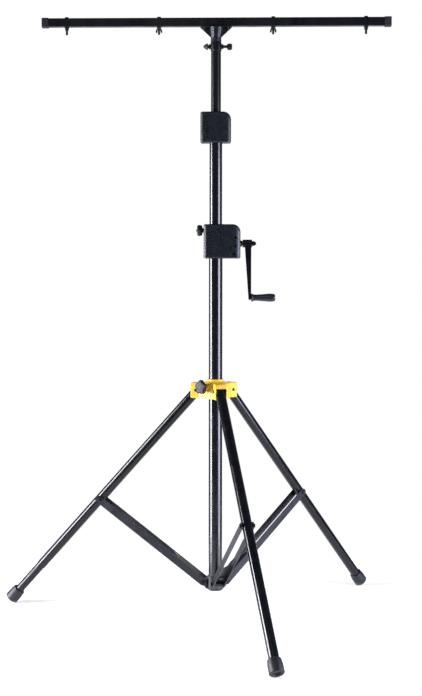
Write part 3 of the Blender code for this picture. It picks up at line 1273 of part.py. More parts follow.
def wing_nut(number, head_frame, x, wings_across):
    """A flanged wing nut under the bar, its wings along Y when they lie across the bar."""
    top = BAR_BOTTOM_HEIGHT - TOUCH - WING_NUT_FLANGE
    nut_frame = frame("wing_nut_%d_frame" % number, head_frame, (x, 0, top),
                      (0, 0, pi / 2 if wings_across else 0))
    hub = rod(WING_NUT_RADIUS * 0.78, -WING_NUT_HEIGHT, 0, sides=TURNED_SIDES, end_radius=WING_NUT_RADIUS)
    nut = piece("wing_nut_%d" % number, hub, nut_frame, "black_bolt")
    flange = rod(WING_NUT_FLANGE_RADIUS, -0.0005, WING_NUT_FLANGE, sides=TURNED_SIDES)
    drop = WING_DROP - WING_NUT_FLANGE
    wings = []
    for side in (-1, 1):
        outline = [(side * across, height) for across, height in (
            (0.0045, -WING_NUT_HEIGHT * 0.15), (WING_NUT_RADIUS * 0.9, -WING_NUT_HEIGHT * 0.15),
            (WING_SPAN * 0.95, -drop * 0.55), (WING_SPAN, -drop * 0.85), (WING_SPAN * 0.9, -drop * 0.97),
            (WING_SPAN * 0.72, -drop), (WING_SPAN * 0.56, -drop * 0.93), (0.0055, -drop * 0.75),
            (0.0050, -WING_NUT_HEIGHT * 0.9),
        )]
        wings.append(slab(outline, WING_THICKNESS, "XZ"))
    bore = rod(YOKE_BOLT_DIAMETER / 2 + TOUCH, -0.1, 0.1)
    join(nut, tool("nut_flange", flange, nut_frame), tool("wings", merged(*wings), nut_frame))
    cut(nut, tool("wing_nut_bore", bore, nut_frame))


# The whole stand
mast = frame("mast_axis", None, (mast_offset(0), mast_offset(1), 0))
floor = tool("floor_plane", block((-2, -2, -0.1), (2, 2, 0)), mast)
base_and_lower_tube(mast)
collar = leg_collar(mast)
for number in range(LEG_COUNT):
    tripod_leg(number, collar, floor)
    brace(number, mast)
winch(mast)
crank(mast)
middle = middle_stage(mast)
top = top_stage(middle)
head(top)
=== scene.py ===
"""Light stand: finishes, softer housings and knobs, pin heads, screws, floor, light and camera.

Everything is in metres with +Z up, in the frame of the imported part.
"""

from math import atan2, cos, pi, radians, sin

import bmesh
import bpy
from mathutils import Matrix, Vector


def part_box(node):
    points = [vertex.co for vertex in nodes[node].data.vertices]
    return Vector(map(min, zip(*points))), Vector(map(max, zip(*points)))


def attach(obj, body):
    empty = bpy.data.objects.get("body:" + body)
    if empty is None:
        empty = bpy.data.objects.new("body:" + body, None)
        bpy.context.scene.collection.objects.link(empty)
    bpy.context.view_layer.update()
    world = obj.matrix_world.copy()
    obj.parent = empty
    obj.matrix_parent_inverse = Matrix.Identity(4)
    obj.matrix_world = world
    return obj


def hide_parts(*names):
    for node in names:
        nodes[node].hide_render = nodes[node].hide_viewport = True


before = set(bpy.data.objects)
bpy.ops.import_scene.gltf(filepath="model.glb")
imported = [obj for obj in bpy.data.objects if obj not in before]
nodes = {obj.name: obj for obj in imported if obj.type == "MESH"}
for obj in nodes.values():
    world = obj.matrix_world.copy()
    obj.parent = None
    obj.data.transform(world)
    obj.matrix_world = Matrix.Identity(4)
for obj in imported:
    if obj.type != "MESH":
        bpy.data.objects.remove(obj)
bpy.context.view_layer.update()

MM = 0.001
LEGS = ("front", "right", "left")

# The mast axis is the middle of the lower tube
tube_low, tube_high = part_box("lower_tube")
mast = (tube_low + tube_high) / 2
mast.z = 0.0


# Materials
EVEN = (1, 1, 1)
UPRIGHT = (1, 1, 0.12)


def linear(hex_colour):
    """An sRGB hex colour as the linear values that Blender's sockets take."""
    values = [int(hex_colour[place:place + 2], 16) / 255 for place in (1, 3, 5)]
    return (*[value / 12.92 if value <= 0.04045 else ((value + 0.055) / 1.055) ** 2.4
              for value in values], 1.0)


def add(tree, kind, settings=None, links=None):
    """A node with its settings, by attribute or by input, and the outputs linked to its inputs."""
    node = tree.nodes.new(kind)
    for name, value in (settings or {}).items():
        if isinstance(name, str) and hasattr(node, name):
            setattr(node, name, value)
        else:
            node.inputs[name].default_value = value
    for name, source in (links or {}).items():
        tree.links.new(source, node.inputs[name])
    return node


def finish(name, colour, roughness, metallic=0.0, ior=1.5, **sockets):
    """A Principled material, its tree, its shader and the place on the piece in metres."""
    made = bpy.data.materials.new(name)
    made.use_nodes = True
    tree = made.node_tree
    shader = tree.nodes["Principled BSDF"]
    shader.inputs["Base Color"].default_value = linear(colour)
    shader.inputs["Roughness"].default_value = roughness
    shader.inputs["Metallic"].default_value = metallic
    shader.inputs["IOR"].default_value = ior
    for socket, value in sockets.items():
        shader.inputs[socket.replace("_", " ")].default_value = value
    place = add(tree, "ShaderNodeTexCoord").outputs["Object"]
    return made, tree, shader, place


def patches(tree, place, size, low=0.0, high=1.0, stretch=EVEN, detail=3.0, narrow=0.14):
    """Soft patches about size metres across that run from low to high."""
    spread = add(tree, "ShaderNodeMapping", {"Scale": stretch}, {"Vector": place})
    noise = add(tree, "ShaderNodeTexNoise",
                {"Scale": 1 / size, "Detail": detail, "Roughness": 0.55},
                {"Vector": spread.outputs[0]})
    level = add(tree, "ShaderNodeMapRange", {"From Min": 0.5 - narrow, "From Max": 0.5 + narrow,
                                             "To Min": low, "To Max": high},
                {"Value": noise.outputs[0]})
    return level.outputs[0]


def drifting_colour(tree, shader, place, size, first, second, most=1.0, **pattern):
    """A base colour that drifts from the first towards the second over soft patches."""
    share = patches(tree, place, size, high=most, **pattern)
    mix = add(tree, "ShaderNodeMix", {"data_type": "RGBA", 6: linear(first), 7: linear(second)},
              {0: share})
    tree.links.new(mix.outputs[2], shader.inputs["Base Color"])


def drifting_shine(tree, shader, place, size, low, high, **pattern):
    """A roughness that drifts between two values over soft patches."""
    tree.links.new(patches(tree, place, size, low, high, **pattern), shader.inputs["Roughness"])


def relief(tree, shader, height, depth, strength=1.0):
    """Bumps of the given depth in metres, on top of the bumps that the shader has already."""
    normal = shader.inputs["Normal"]
    links = {"Height": height}
    if normal.is_linked:
        links["Normal"] = normal.links[0].from_socket
    bump = add(tree, "ShaderNodeBump", {"Strength": strength, "Distance": depth}, links)
    tree.links.new(bump.outputs[0], normal)


def baked_coat(name, colour, roughness, ior=1.5, rubbed=0.0, along=EVEN):
    """Powder coat, sprayed dry and baked: a thick gloss skin with slow orange-peel waves.

    The waves are 4 mm apart on the real one and drawn at about twice that. Hands and the clamps
    leave duller patches, drawn out along the tube where it slides.
    """
    made, tree, shader, place = finish(name, colour, roughness, ior=ior)
    dullest = roughness + 0.08 + rubbed
    drifting_shine(tree, shader, place, 60 * MM, roughness - 0.04, dullest, stretch=along)
    drifting_colour(tree, shader, place, 25 * MM, colour, "#14161b", stretch=along, detail=5.0,
                    narrow=0.25)
    peel = patches(tree, place, 9 * MM, detail=0.0, narrow=0.4)
    relief(tree, shader, peel, depth=0.012 * MM)
    return made


def moulded_nylon(name, colour, grain, roughness):
    """Glass-filled nylon from a spark-eroded mould: an even fine grain that breaks up the shine.

    The real grain is 0.3 mm; it is drawn at the given size, so that it shows.
    """
    made, tree, shader, place = finish(name, colour, roughness, ior=1.53)
    drifting_shine(tree, shader, place, 18 * MM, roughness - 0.06, roughness + 0.08)
    drifting_colour(tree, shader, place, 9 * MM, colour, "#181d25", detail=4.0, narrow=0.2)
    pits = add(tree, "ShaderNodeTexVoronoi",
               {"feature": "SMOOTH_F1", "Scale": 1 / grain, "Smoothness": 0.6}, {"Vector": place})
    relief(tree, shader, pits.outputs["Distance"], depth=0.10 * MM, strength=0.8)
    ripple = patches(tree, place, 2.5 * MM, detail=2.0)
    relief(tree, shader, ripple, depth=0.05 * MM, strength=0.6)
    return made


def painted_casting(name):
    """The collar: a die-cast part in golden yellow paint, satin, its yellow a little deeper in soft
    patches.

    The casting's skin shows through the paint as soft dimples 2 mm apart.
    """
    made, tree, shader, place = finish(name, "#fecd45", 0.38)
    drifting_colour(tree, shader, place, 14 * MM, "#ffd24c", "#f7ba34", detail=4.0, narrow=0.2)
    drifting_shine(tree, shader, place, 8 * MM, 0.32, 0.50)
    dimples = patches(tree, place, 2 * MM, detail=2.0, narrow=0.3)
    relief(tree, shader, dimples, depth=0.06 * MM, strength=0.7)
    return made


def moulded_rubber(name, colour, roughness, floor_dust):
    """Moulded rubber: matt, with a grey bloom, and dust low down where it meets the floor."""
    made, tree, shader, place = finish(name, colour, roughness, ior=1.52)
    drifting_colour(tree, shader, place, 7 * MM, colour, "#20232b", most=0.8, detail=5.0,
                    narrow=0.25)
    if floor_dust:
        base = shader.inputs["Base Color"]
        height = add(tree, "ShaderNodeSeparateXYZ", None, {0: place}).outputs[2]
        near = add(tree, "ShaderNodeMapRange", {"From Min": 2 * MM, "From Max": 14 * MM,
                                                "To Min": 0.35, "To Max": 0.0}, {"Value": height})
        dusty = add(tree, "ShaderNodeMix", {"data_type": "RGBA", 7: linear("#6d6a63")},
                    {0: near.outputs[0], 6: base.links[0].from_socket})
        tree.links.new(dusty.outputs[2], base)
    skin = patches(tree, place, 1.2 * MM, narrow=0.3)
    relief(tree, shader, skin, depth=0.05 * MM, strength=0.7)
    return made


def plain_metal(name, colour, worn, roughness, size):
    """Small steel or brass parts: turned or pressed, then plated, blackened or left bare.

    The finish is thinner in places, so colour and shine drift over patches of the given size.
    """
    made, tree, shader, place = finish(name, colour, roughness, metallic=1.0)
    drifting_colour(tree, shader, place, size, colour, worn, detail=5.0, narrow=0.16)
    drifting_shine(tree, shader, place, size * 0.6, roughness - 0.08, roughness + 0.12)
    tool_marks = patches(tree, place, 0.8 * MM, detail=1.0, narrow=0.4)
    relief(tree, shader, tool_marks, depth=0.02 * MM, strength=0.5)
    return made


def unfilled_nylon(name):
    """Bushes and sliders: natural nylon, milky, slightly see-through and greyed by the tubes."""
    made, tree, shader, place = finish(name, "#d9d6c8", 0.42, ior=1.53, Subsurface_Weight=0.15,
                                       Subsurface_Scale=0.004)
    drifting_colour(tree, shader, place, 10 * MM, "#d9d6c8", "#b3b0a4", most=0.7, detail=4.0)
    turning = patches(tree, place, 1.0 * MM, detail=1.0, narrow=0.4)
    relief(tree, shader, turning, depth=0.03 * MM, strength=0.5)
    return made


finishes = {
    baked_coat("mast_powder_coat", "#07090c", 0.22, ior=1.62): ["lower_tube"],
    baked_coat("sliding_tube_powder_coat", "#07090c", 0.22, ior=1.62, rubbed=0.04, along=UPRIGHT): [
        "middle_tube",
    ],
    baked_coat("leg_powder_coat", "#06080b", 0.17, ior=1.44): [
        *["leg_" + leg for leg in LEGS], "crank_arm",
    ],
    # The braces' coat is drawn lighter and more lilac than the other coats: a painted sheen,
    # standing in for the highlight their flat faces catch.
    baked_coat("folded_steel_coat_painted_sheen", "#191a26", 0.34): ["brace_" + leg for leg in LEGS],
    baked_coat("satin_powder_coat", "#06070a", 0.30, ior=1.42, rubbed=0.03, along=UPRIGHT): [
        "top_tube", "head_receptacle", "levelling_tube", "cross_bar",
    ],
    moulded_nylon("glass_filled_nylon", "#0c1217", 1.1 * MM, 0.36): [
        "winch_housing_front", "winch_housing_rear", "pulley_housing_front", "pulley_housing_rear",
        "base_hub", "bar_bracket",
    ],
    moulded_nylon("knob_nylon", "#0b0e14", 0.9 * MM, 0.62): [
        "collar_knob", "tube_lock_knob", "head_clamp_knob", "safety_pin", "bar_end_cap_left",
        "bar_end_cap_right",
    ],
    painted_casting("golden_painted_casting"): ["leg_collar"],
    moulded_rubber("foot_rubber", "#0c0e13", 0.50, floor_dust=True): [
        "foot_" + leg for leg in LEGS
    ],
    moulded_rubber("grip_rubber", "#1b2029", 0.34, floor_dust=False): ["crank_grip"],
    plain_metal("blackened_steel", "#191a1e", "#3a3b40", 0.40, 6 * MM): [
        *["hub_bolt_" + leg for leg in LEGS], *["leg_pin_" + leg for leg in LEGS], "crank_nut",
        *["yoke_bolt_%d" % number for number in range(1, 5)],
        *["wing_nut_%d" % number for number in range(1, 5)],
    ],
    plain_metal("zinc_plated_steel", "#b4b8bf", "#8d9199", 0.30, 5 * MM): [
        "brake_pawl", "crank_shaft", "cable_drum", "ratchet_wheel", "grip_spindle", "pulley_axle",
        "spigot",
    ],
    plain_metal("greased_brass", "#4b4028", "#2c271d", 0.38, 5 * MM): [
        "winch_bush_left", "winch_bush_right",
    ],
    unfilled_nylon("natural_nylon"): [
        "collar_liner", "winch_guide_bush", "middle_tube_foot", "pulley_guide_bush", "cable_pulley",
        "top_tube_foot",
    ],
}
material_of = {made.name: made for made in finishes}
for made, members in finishes.items():
    for member in members:
        node = nodes[member]
        node.data.materials.clear()
        node.data.materials.append(made)
missing = sorted(set(nodes) - {member for members in finishes.values() for member in members})
if missing:
    raise RuntimeError("no finish for " + ", ".join(missing))


# Shading: smooth over rounds and crisp at edges sharper than these angles, in degrees
SOLIDS_SMOOTH_TO, PIECES_SMOOTH_TO, SHELLS_SMOOTH_TO = 50, 35, 30


def shaded(piece, smooth_to):
    """Smooth shading over rounds, with edges sharper than the given angle kept crisp."""
    piece.data.polygons.foreach_set("use_smooth", [True] * len(piece.data.polygons))
    split = piece.modifiers.new("sharp_edges", "EDGE_SPLIT")
    split.split_angle = radians(smooth_to)
    split.use_edge_sharp = False
    even = piece.modifiers.new("even_shading", "WEIGHTED_NORMAL")
    even.mode = "FACE_AREA"
    even.keep_sharp = True


# The solids keep their meshes: they are shaded smooth, and broken edges catch light (in mm)
broken_edges = {
    "cross_bar": 0.4, "crank_arm": 0.6, "brace_front": 0.35, "brace_right": 0.35,
    "brace_left": 0.35, "bar_bracket": 0.4, "base_hub": 0.5, "leg_collar": 0.6,
    "tube_lock_knob": 0.5, "collar_knob": 0.5, "crank_nut": 0.3, "head_clamp_knob": 0.4,
}
BROKEN_OVER = radians(32)
WELD_REACH = 0.01 * MM
for name, node in nodes.items():
    weld = node.modifiers.new("weld", "WELD")
    weld.merge_threshold = WELD_REACH
    if name in broken_edges:
        edge = node.modifiers.new("broken_edge", "BEVEL")
        edge.width = broken_edges[name] * MM
        edge.segments = 2
        edge.limit_method = "ANGLE"
        edge.angle_limit = BROKEN_OVER
        edge.use_clamp_overlap = True
        edge.harden_normals = False
    shaded(node, SOLIDS_SMOOTH_TO)


# Pieces of the scene: small turned, lobed and moulded shapes
def lofted(name, rings):
    """A closed skin over rings of equally many points; a ring of one point is a tip."""
    made = bmesh.new()
    drawn = [[made.verts.new(point) for point in ring] for ring in rings]
    if len(drawn[0]) > 1:
        made.faces.new(drawn[0][::-1])
    if len(drawn[-1]) > 1:
        made.faces.new(drawn[-1])
    for lower, upper in zip(drawn, drawn[1:]):
        count = max(len(lower), len(upper))
        for step in range(count):
            after = (step + 1) % count
            corners = [lower[step % len(lower)], lower[after % len(lower)],
                       upper[after % len(upper)], upper[step % len(upper)]]
            made.faces.new(list(dict.fromkeys(corners)))
    bmesh.ops.recalc_face_normals(made, faces=made.faces)
    mesh = bpy.data.meshes.new(name)
    made.to_mesh(mesh)
    made.free()
    return mesh


def circle(radius, across, up, sides=40):
    """The outline of a circle round a point of its plane."""
    turns = [2 * pi * step / sides for step in range(sides)]
    return [(across + radius * cos(turn), up + radius * sin(turn)) for turn in turns]


def prism(name, outline, axis, low, high):
    """An outline drawn straight along one axis between two levels."""
    spots = {"X": lambda a, b, level: (level, a, b), "Y": lambda a, b, level: (a, level, b),
             "Z": lambda a, b, level: (a, b, level)}[axis]
    return lofted(name, [[spots(a, b, level) for a, b in outline] for level in (low, high)])


def turned(name, profile, sides, reach):
    """A form round Z over rows of height, radius and more.

    reach(angle, radius, ...) is how far out the skin is at an angle.
    """
    rings = []
    for height, *row in profile:
        if row[0] == 0:
            rings.append([(0, 0, height)])
            continue
        ring = []
        for step in range(sides):
            angle = 2 * pi * step / sides
            here = reach(angle, *row)
            ring.append((here * cos(angle), here * sin(angle), height))
        rings.append(ring)
    return lofted(name, rings)


def carved(name, blank, cutters):
    """A mesh with others cut out of it."""
    work = bpy.data.objects.new(name, blank)
    bpy.context.scene.collection.objects.link(work)
    tools = []
    for mesh in cutters:
        tool = bpy.data.objects.new(name + "_tool", mesh)
        bpy.context.scene.collection.objects.link(tool)
        cut = work.modifiers.new("cut", "BOOLEAN")
        cut.operation = "DIFFERENCE"
        cut.object = tool
        cut.solver = "EXACT"
        tools.append(tool)
    solved = work.evaluated_get(bpy.context.evaluated_depsgraph_get())
    result = bpy.data.meshes.new_from_object(solved)
    result.name = name
    for done in (work, *tools):
        bpy.data.objects.remove(done)
    return result


def dressed(name, mesh, material, body, smooth_to):
    """A piece in one of the finishes, riding on a body."""
    piece = bpy.data.objects.new(name, mesh)
    bpy.context.scene.collection.objects.link(piece)
    mesh.materials.clear()
    mesh.materials.append(material_of[material])
    shaded(piece, smooth_to)
    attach(piece, body)
    return piece


def put(name, mesh, material, body, place, along, twist=0.0):
    """A dressed piece whose local Z lies along a direction from a place."""
    facing = Vector(along).to_track_quat("Z", "Y").to_matrix().to_4x4()
    mesh.transform(Matrix.Translation(place) @ facing @ Matrix.Rotation(twist, 4, "Z"))
    return dressed(name, mesh, material, body, PIECES_SMOOTH_TO)


# Clamp knobs: the grips have round lobes where the solids have facets
LOBES, POINTS_PER_LOBE, DIP_SHARE = 5, 12, 0.085
STUD_RADIUS, STUD_BROKEN, STUD_GAP = 4.0 * MM, 0.5 * MM, 0.3 * MM
# Rows of shares: of the grip's thickness, of its radius, and of the dip between its lobes
GRIP_FORM = [(0.0, 0.66, 0.5), (0.06, 0.84, 0.75), (0.20, 0.96, 1.0), (0.42, 1.0, 1.0),
             (0.70, 1.0, 1.0), (0.86, 0.96, 1.0), (0.96, 0.85, 0.85), (1.0, 0.70, 0.6)]


def between_lobes(angle, radius, dip):
    return radius - dip / 2 + dip / 2 * cos(LOBES * angle)


def clamp_knob(name, body, place, along, diameter, thickness, neck, boss, stud_end, tip=0.0,
               twist=0.0):
    """A knob with its stud on one axis: boss is the radius of its neck, tip the stud's far end."""
    radius, dip, stud = diameter / 2, diameter * DIP_SHARE, STUD_RADIUS
    top = neck + thickness
    profile = [(stud_end, 0, 0), (stud_end, stud - STUD_BROKEN, 0),
               (stud_end + STUD_BROKEN, stud, 0), (STUD_GAP, stud, 0), (STUD_GAP, boss, 0),
               (neck - 0.4 * MM, boss, 0)]
    profile += [(neck + thickness * rise, radius * wide, dip * deep)
                for rise, wide, deep in GRIP_FORM]
    if tip:
        rim = 0.6 * MM
        profile += [(top, stud * 1.5, 0), (top - rim, stud * 1.3, 0), (top - rim, stud, 0),
                    (top + tip - rim, stud, 0), (top + tip, stud - rim, 0), (top + tip, 0, 0)]
    else:
        hollow = top - 1.1 * MM
        profile += [(top, radius * 0.42, dip * 0.1), (top - 0.9 * MM, radius * 0.36, 0),
                    (hollow, radius * 0.1, 0), (hollow, 0, 0)]
    mesh = turned(name, profile, LOBES * POINTS_PER_LOBE, between_lobes)
    knob = put(name + "_grip", mesh, "knob_nylon", body, place, along, twist)
    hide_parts(name)


LOWER_TUBE_RADIUS, MIDDLE_TUBE_RADIUS = 24.15 * MM, 22.5 * MM
COLLAR_FACE, COLLAR_KNOB_HEIGHT = 53.0 * MM, 833.0 * MM
LOCK_FACE, LOCK_KNOB_HEIGHT = 43.0 * MM, 1385.0 * MM
pin_low, pin_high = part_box("leg_pin_front")
front_pin = (pin_low + pin_high) / 2 - mast
knob_azimuth = atan2(front_pin.y, front_pin.x) - pi / 3
knob_way = Vector((cos(knob_azimuth), sin(knob_azimuth), 0))
clamp_knob("collar_knob", "collar_lock",
           mast + knob_way * COLLAR_FACE + Vector((0, 0, COLLAR_KNOB_HEIGHT)), knob_way,
           diameter=53.0 * MM, thickness=17.0 * MM, neck=9.0 * MM, boss=9.0 * MM,
           stud_end=LOWER_TUBE_RADIUS + STUD_GAP - COLLAR_FACE, twist=0.3)
clamp_knob("tube_lock_knob", "tube_lock", mast + Vector((-LOCK_FACE, 0, LOCK_KNOB_HEIGHT)),
           (-1, 0, 0), diameter=40.0 * MM, thickness=19.0 * MM, neck=4.0 * MM, boss=8.0 * MM,
           stud_end=MIDDLE_TUBE_RADIUS + STUD_GAP - LOCK_FACE, tip=3.0 * MM)


# Heads of the leg pins: a washer under a hexagon with a broken top edge, at both ends of each pin
WASHER, ACROSS, HEAD_HEIGHT = 5.6 * MM, 4.6 * MM, 3.2 * MM
HEAD_PAST_PIN = 1.05 * MM
HEAD_TWIST = 0.4
HEAD_SIDES = 24
head_profile = [(0, 0), (0, WASHER - 0.2 * MM), (0.2 * MM, WASHER), (0.8 * MM, WASHER),
                (0.9 * MM, WASHER - 0.2 * MM), (0.9 * MM, ACROSS),
                (HEAD_HEIGHT - 0.6 * MM, ACROSS), (HEAD_HEIGHT, ACROSS - 0.7 * MM),
                (HEAD_HEIGHT, 0)]


def hexagon_on_washer(angle, radius):
    if radius > ACROSS:
        return radius
    return radius * cos(pi / 6) / cos(angle % (pi / 3) - pi / 6)


for leg in LEGS:
    node_name = "leg_pin_" + leg
    low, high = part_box(node_name)
    middle = (low + high) / 2
    outward = Vector((middle.x - mast.x, middle.y - mast.y, 0)).normalized()
    sideways = Vector((-outward.y, outward.x, 0))
    pin_end = max(abs((vertex.co - middle).dot(sideways))
                  for vertex in nodes[node_name].data.vertices)
    for side, label in ((1, "a"), (-1, "b")):
        head = turned("pin_head", head_profile, HEAD_SIDES, hexagon_on_washer)
        put("leg_pin_head_%s_%s" % (leg, label), head, "blackened_steel", "collar",
            middle + sideways * side * (pin_end + HEAD_PAST_PIN), sideways * side, HEAD_TWIST)


# Housings: moulded halves with soft corners, ribs for the hand, screw wells and panel lines
CORNER, SHOULDER, CROWN = 7 * MM, 28 * MM, 1.4 * MM
PARTING_BEVEL = 0.7 * MM
ROUND_STEPS = 10
RIBBED_LENGTH, RIB_PITCH, RIBS = 28 * MM, 10.5 * MM, 8
GROOVE_DEPTH, GROOVE_WIDTH = 1.6 * MM, 4.0 * MM
WELL_RADIUS = 4.5 * MM
LINE_WIDTH, LINE_DEPTH = 1.6 * MM, 1.9 * MM
OUTSIDE = 60 * MM


def housing_ring(sizes, left_inset, right_inset, rim, sign, level, steps=7):
    """The outline of a housing at one level from its parting plane, drawn in by the given insets.

    sizes are the left and right sides and the low and high ends; the upper right is the shoulder.
    """
    left, right = sizes[0] + left_inset, sizes[1] - right_inset
    low, high = sizes[2] + rim, sizes[3] - rim
    ring = []
    for x, z, radius, inset, quarter in (
            (left, low, CORNER, left_inset, 2), (right, low, CORNER, right_inset, 3),
            (right, high, SHOULDER, right_inset, 0), (left, high, CORNER, left_inset, 1)):
        radius_x, radius_z = max(radius - inset, MM), max(radius - rim, MM)
        centre_x = x + radius_x if x == left else x - radius_x
        centre_z = z + radius_z if z == low else z - radius_z
        for step in range(steps + 1):
            angle = pi / 2 * (quarter + step / steps)
            ring.append((mast.x + centre_x + radius_x * cos(angle), mast.y + sign * level,
                         centre_z + radius_z * sin(angle)))
    return ring


def housing_form(name, sizes, depth, sign, soft_left, soft_right, soft_rim, drop):
    """Half a housing as a solid block, with its sides rounded over and its face slightly crowned.

    The rounds draw the left, the right and both ends in by the soft amounts, and are drop deep.
    """
    side = depth - CROWN
    rings = [housing_ring(sizes, PARTING_BEVEL, PARTING_BEVEL, PARTING_BEVEL, sign, 0.1 * MM),
             housing_ring(sizes, 0, 0, 0, sign, 0.9 * MM)]
    for step in range(ROUND_STEPS + 1):
        turn = pi / 2 * step / ROUND_STEPS
        gone = 1 - cos(turn)
        rings.append(housing_ring(sizes, soft_left * gone, soft_right * gone, soft_rim * gone, sign,
                                  side - drop + drop * sin(turn)))
    flat = rings[-1]
    left, right, low, high = sizes
    centre_x, centre_z = mast.x + (left + right) / 2, (low + high) / 2
    for share in (0.85, 0.7, 0.5, 0.25):
        rings.append([(centre_x + (x - centre_x) * share,
                       mast.y + sign * (side + CROWN * (1 - share ** 2)),
                       centre_z + (z - centre_z) * share) for x, y, z in flat])
    return lofted(name, rings)


def groove_plan(left, depth, soft_left, drop):
    """The plan of what a level groove takes away round the left side of both halves."""
    beyond = 10 * MM
    side, stop, cut = depth - CROWN, left + RIBBED_LENGTH, GROOVE_DEPTH
    inner = []
    for step in range(ROUND_STEPS + 1):
        turn = pi / 2 * step / ROUND_STEPS
        inner.append((left + cut + soft_left * (1 - cos(turn)),
                      side - drop + drop * sin(turn) - cut * sin(turn)))
    inner.append((stop, side - cut))
    rear = [(stop, depth + beyond), (left - beyond, depth + beyond)]
    plan = rear + [(x, -y) for x, y in rear[::-1]] + [(x, -y) for x, y in inner[::-1]] + inner
    return [(mast.x + x, mast.y + y) for x, y in plan]


def channel(points):
    """A thin band along a line of points in front view, as a closed outline."""
    left_side, right_side = [], []
    for number, (x, z) in enumerate(points):
        before = Vector(points[max(number - 1, 0)])
        after = Vector(points[min(number + 1, len(points) - 1)])
        step = (after - before).normalized() * LINE_WIDTH / 2
        left_side.append((mast.x + x - step.y, z + step.x))
        right_side.append((mast.x + x + step.y, z - step.x))
    return left_side + right_side[::-1]


def housing(prefix, body, sizes, depth, softness, rooms, wells, lowest_rib, lines=()):
    """Both shells of a housing, with rooms, wells, ribs and lines cut into their solid forms.

    softness is what housing_form takes last: soft_left, soft_right, soft_rim and drop.
    """
    soft_left, *_, drop = softness
    plan = groove_plan(sizes[0], depth, soft_left, drop)
    grooves = [prism("groove", plan, "Z", z - GROOVE_WIDTH / 2, z + GROOVE_WIDTH / 2)
               for z in (lowest_rib + RIB_PITCH * number for number in range(RIBS))]
    for half, sign in (("front", -1), ("rear", 1)):
        name = "%s_%s" % (prefix, half)
        cutters = rooms + grooves
        for x, z, on, bottom in wells:
            if on == half:
                ends = sorted((mast.y + sign * bottom, mast.y + sign * OUTSIDE))
                cutters.append(prism("well", circle(WELL_RADIUS, mast.x + x, z), "Y", *ends))
        for points in lines if half == "front" else []:
            cutters.append(prism("line", channel(points), "Y", mast.y - OUTSIDE,
                                 mast.y - depth + LINE_DEPTH))
        form = housing_form(name, sizes, depth, sign, *softness)
        shell = dressed(name + "_shell", carved(name, form, cutters), "glass_filled_nylon", body,
                        SHELLS_SMOOTH_TO)
        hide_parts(name)


def bore(axis, radius, low, high, across=0.0, height=0.0):
    """A round room along an axis, measured from the mast axis and the floor."""
    sides = 48
    if axis == "Z":
        return prism("bore", circle(radius, mast.x, mast.y, sides), axis, low, high)
    start, beside = (mast.x, mast.y) if axis == "X" else (mast.y, mast.x)
    outline = circle(radius, beside + across, height, sides)
    return prism("bore", outline, axis, start + low, start + high)


def room(low, high):
    """A square room between two corners, measured from the mast axis and the floor."""
    corners = [(mast.x + x, mast.y + y) for x, y in ((low[0], low[1]), (high[0], low[1]),
                                                     (high[0], high[1]), (low[0], high[1]))]
    return prism("room", corners, "Z", low[2], high[2])


# Each well: across from the mast axis, height, half of the housing, and its bottom from the axis
WINCH_WELLS = [(0.0705, 1.359, "front", 0.0330), (0.0705, 1.330, "front", 0.0330),
               (0.0645, 1.302, "front", 0.0330), (-0.0336, 1.300, "rear", 0.0330),
               (-0.0336, 1.354, "rear", 0.0330), (0.0793, 1.298, "rear", 0.0275),
               (0.0773, 1.389, "rear", 0.0285)]
PULLEY_WELLS = [(-0.0385, 1.703, "rear", 0.0310), (-0.0385, 1.786, "rear", 0.0310),
                (0.03975, 1.703, "rear", 0.0300)]
SHAFT_HEIGHT, AXLE_HEIGHT = 1339.0 * MM, 1749.0 * MM

tray = [(0.0250, 1.3540), (0.0250, 1.3330), (0.0262, 1.3280), (0.0292, 1.3245), (0.0340, 1.3225),
        (0.0530, 1.3225), (0.0580, 1.3245), (0.0612, 1.3285), (0.0625, 1.3340), (0.0625, 1.3440)]
seam = [(0.0625, 1.3500), (0.0720, 1.3500), (0.0950, 1.3500)]
upright_line = [(0.0165, 1.3360), (0.0165, 1.3590), (0.0165, 1.3810)]
winch_rooms = [
    bore("Z", 24.45 * MM, 1270 * MM, 1366.1 * MM),  # the lower tube
    bore("Z", 23.5 * MM, 1270 * MM, 1420 * MM),  # the middle tube
    bore("Z", 27.2 * MM, 1371.7 * MM, 1392.3 * MM),  # the guide bush
    bore("X", 29.0 * MM, 29.5 * MM, 83.5 * MM, height=SHAFT_HEIGHT),  # the drum and its ratchet
    bore("X", 10.2 * MM, 20.0 * MM, 120 * MM, height=SHAFT_HEIGHT),  # the shaft's bushes
    bore("X", 4.5 * MM, -80 * MM, -10 * MM, height=LOCK_KNOB_HEIGHT),  # the stud of the lock
    room((62 * MM, -5 * MM, 1355 * MM), (83.4 * MM, 24 * MM, 1378 * MM)),  # the pawl
]
housing("winch_housing", "mast", sizes=(-43.0 * MM, 87.0 * MM, 1286.0 * MM, 1407.0 * MM),
        depth=38.4 * MM, softness=(14 * MM, 25 * MM, 6 * MM, 13 * MM), rooms=winch_rooms,
        wells=WINCH_WELLS, lowest_rib=1305 * MM, lines=[tray, seam, upright_line])

pulley_rooms = [
    bore("Z", 22.8 * MM, 1680 * MM, 1725.3 * MM),  # the middle tube
    bore("Z", 18.5 * MM, 1680 * MM, 1820 * MM),  # the top tube
    bore("Z", 22.2 * MM, 1776.2 * MM, 1796.8 * MM),  # the guide bush
    room((12 * MM, -5.2 * MM, 1734 * MM), (49 * MM, 5.2 * MM, 1764 * MM)),  # the pulley
    bore("Y", 4.3 * MM, -29.3 * MM, 29.3 * MM, 34.5 * MM, AXLE_HEIGHT),  # its axle
]
housing("pulley_housing", "middle_stage", sizes=(-54.5 * MM, 53.0 * MM, 1691.0 * MM, 1800.0 * MM),
        depth=36.1 * MM, softness=(14 * MM, 20 * MM, 6 * MM, 12 * MM), rooms=pulley_rooms,
        wells=PULLEY_WELLS, lowest_rib=1710 * MM)


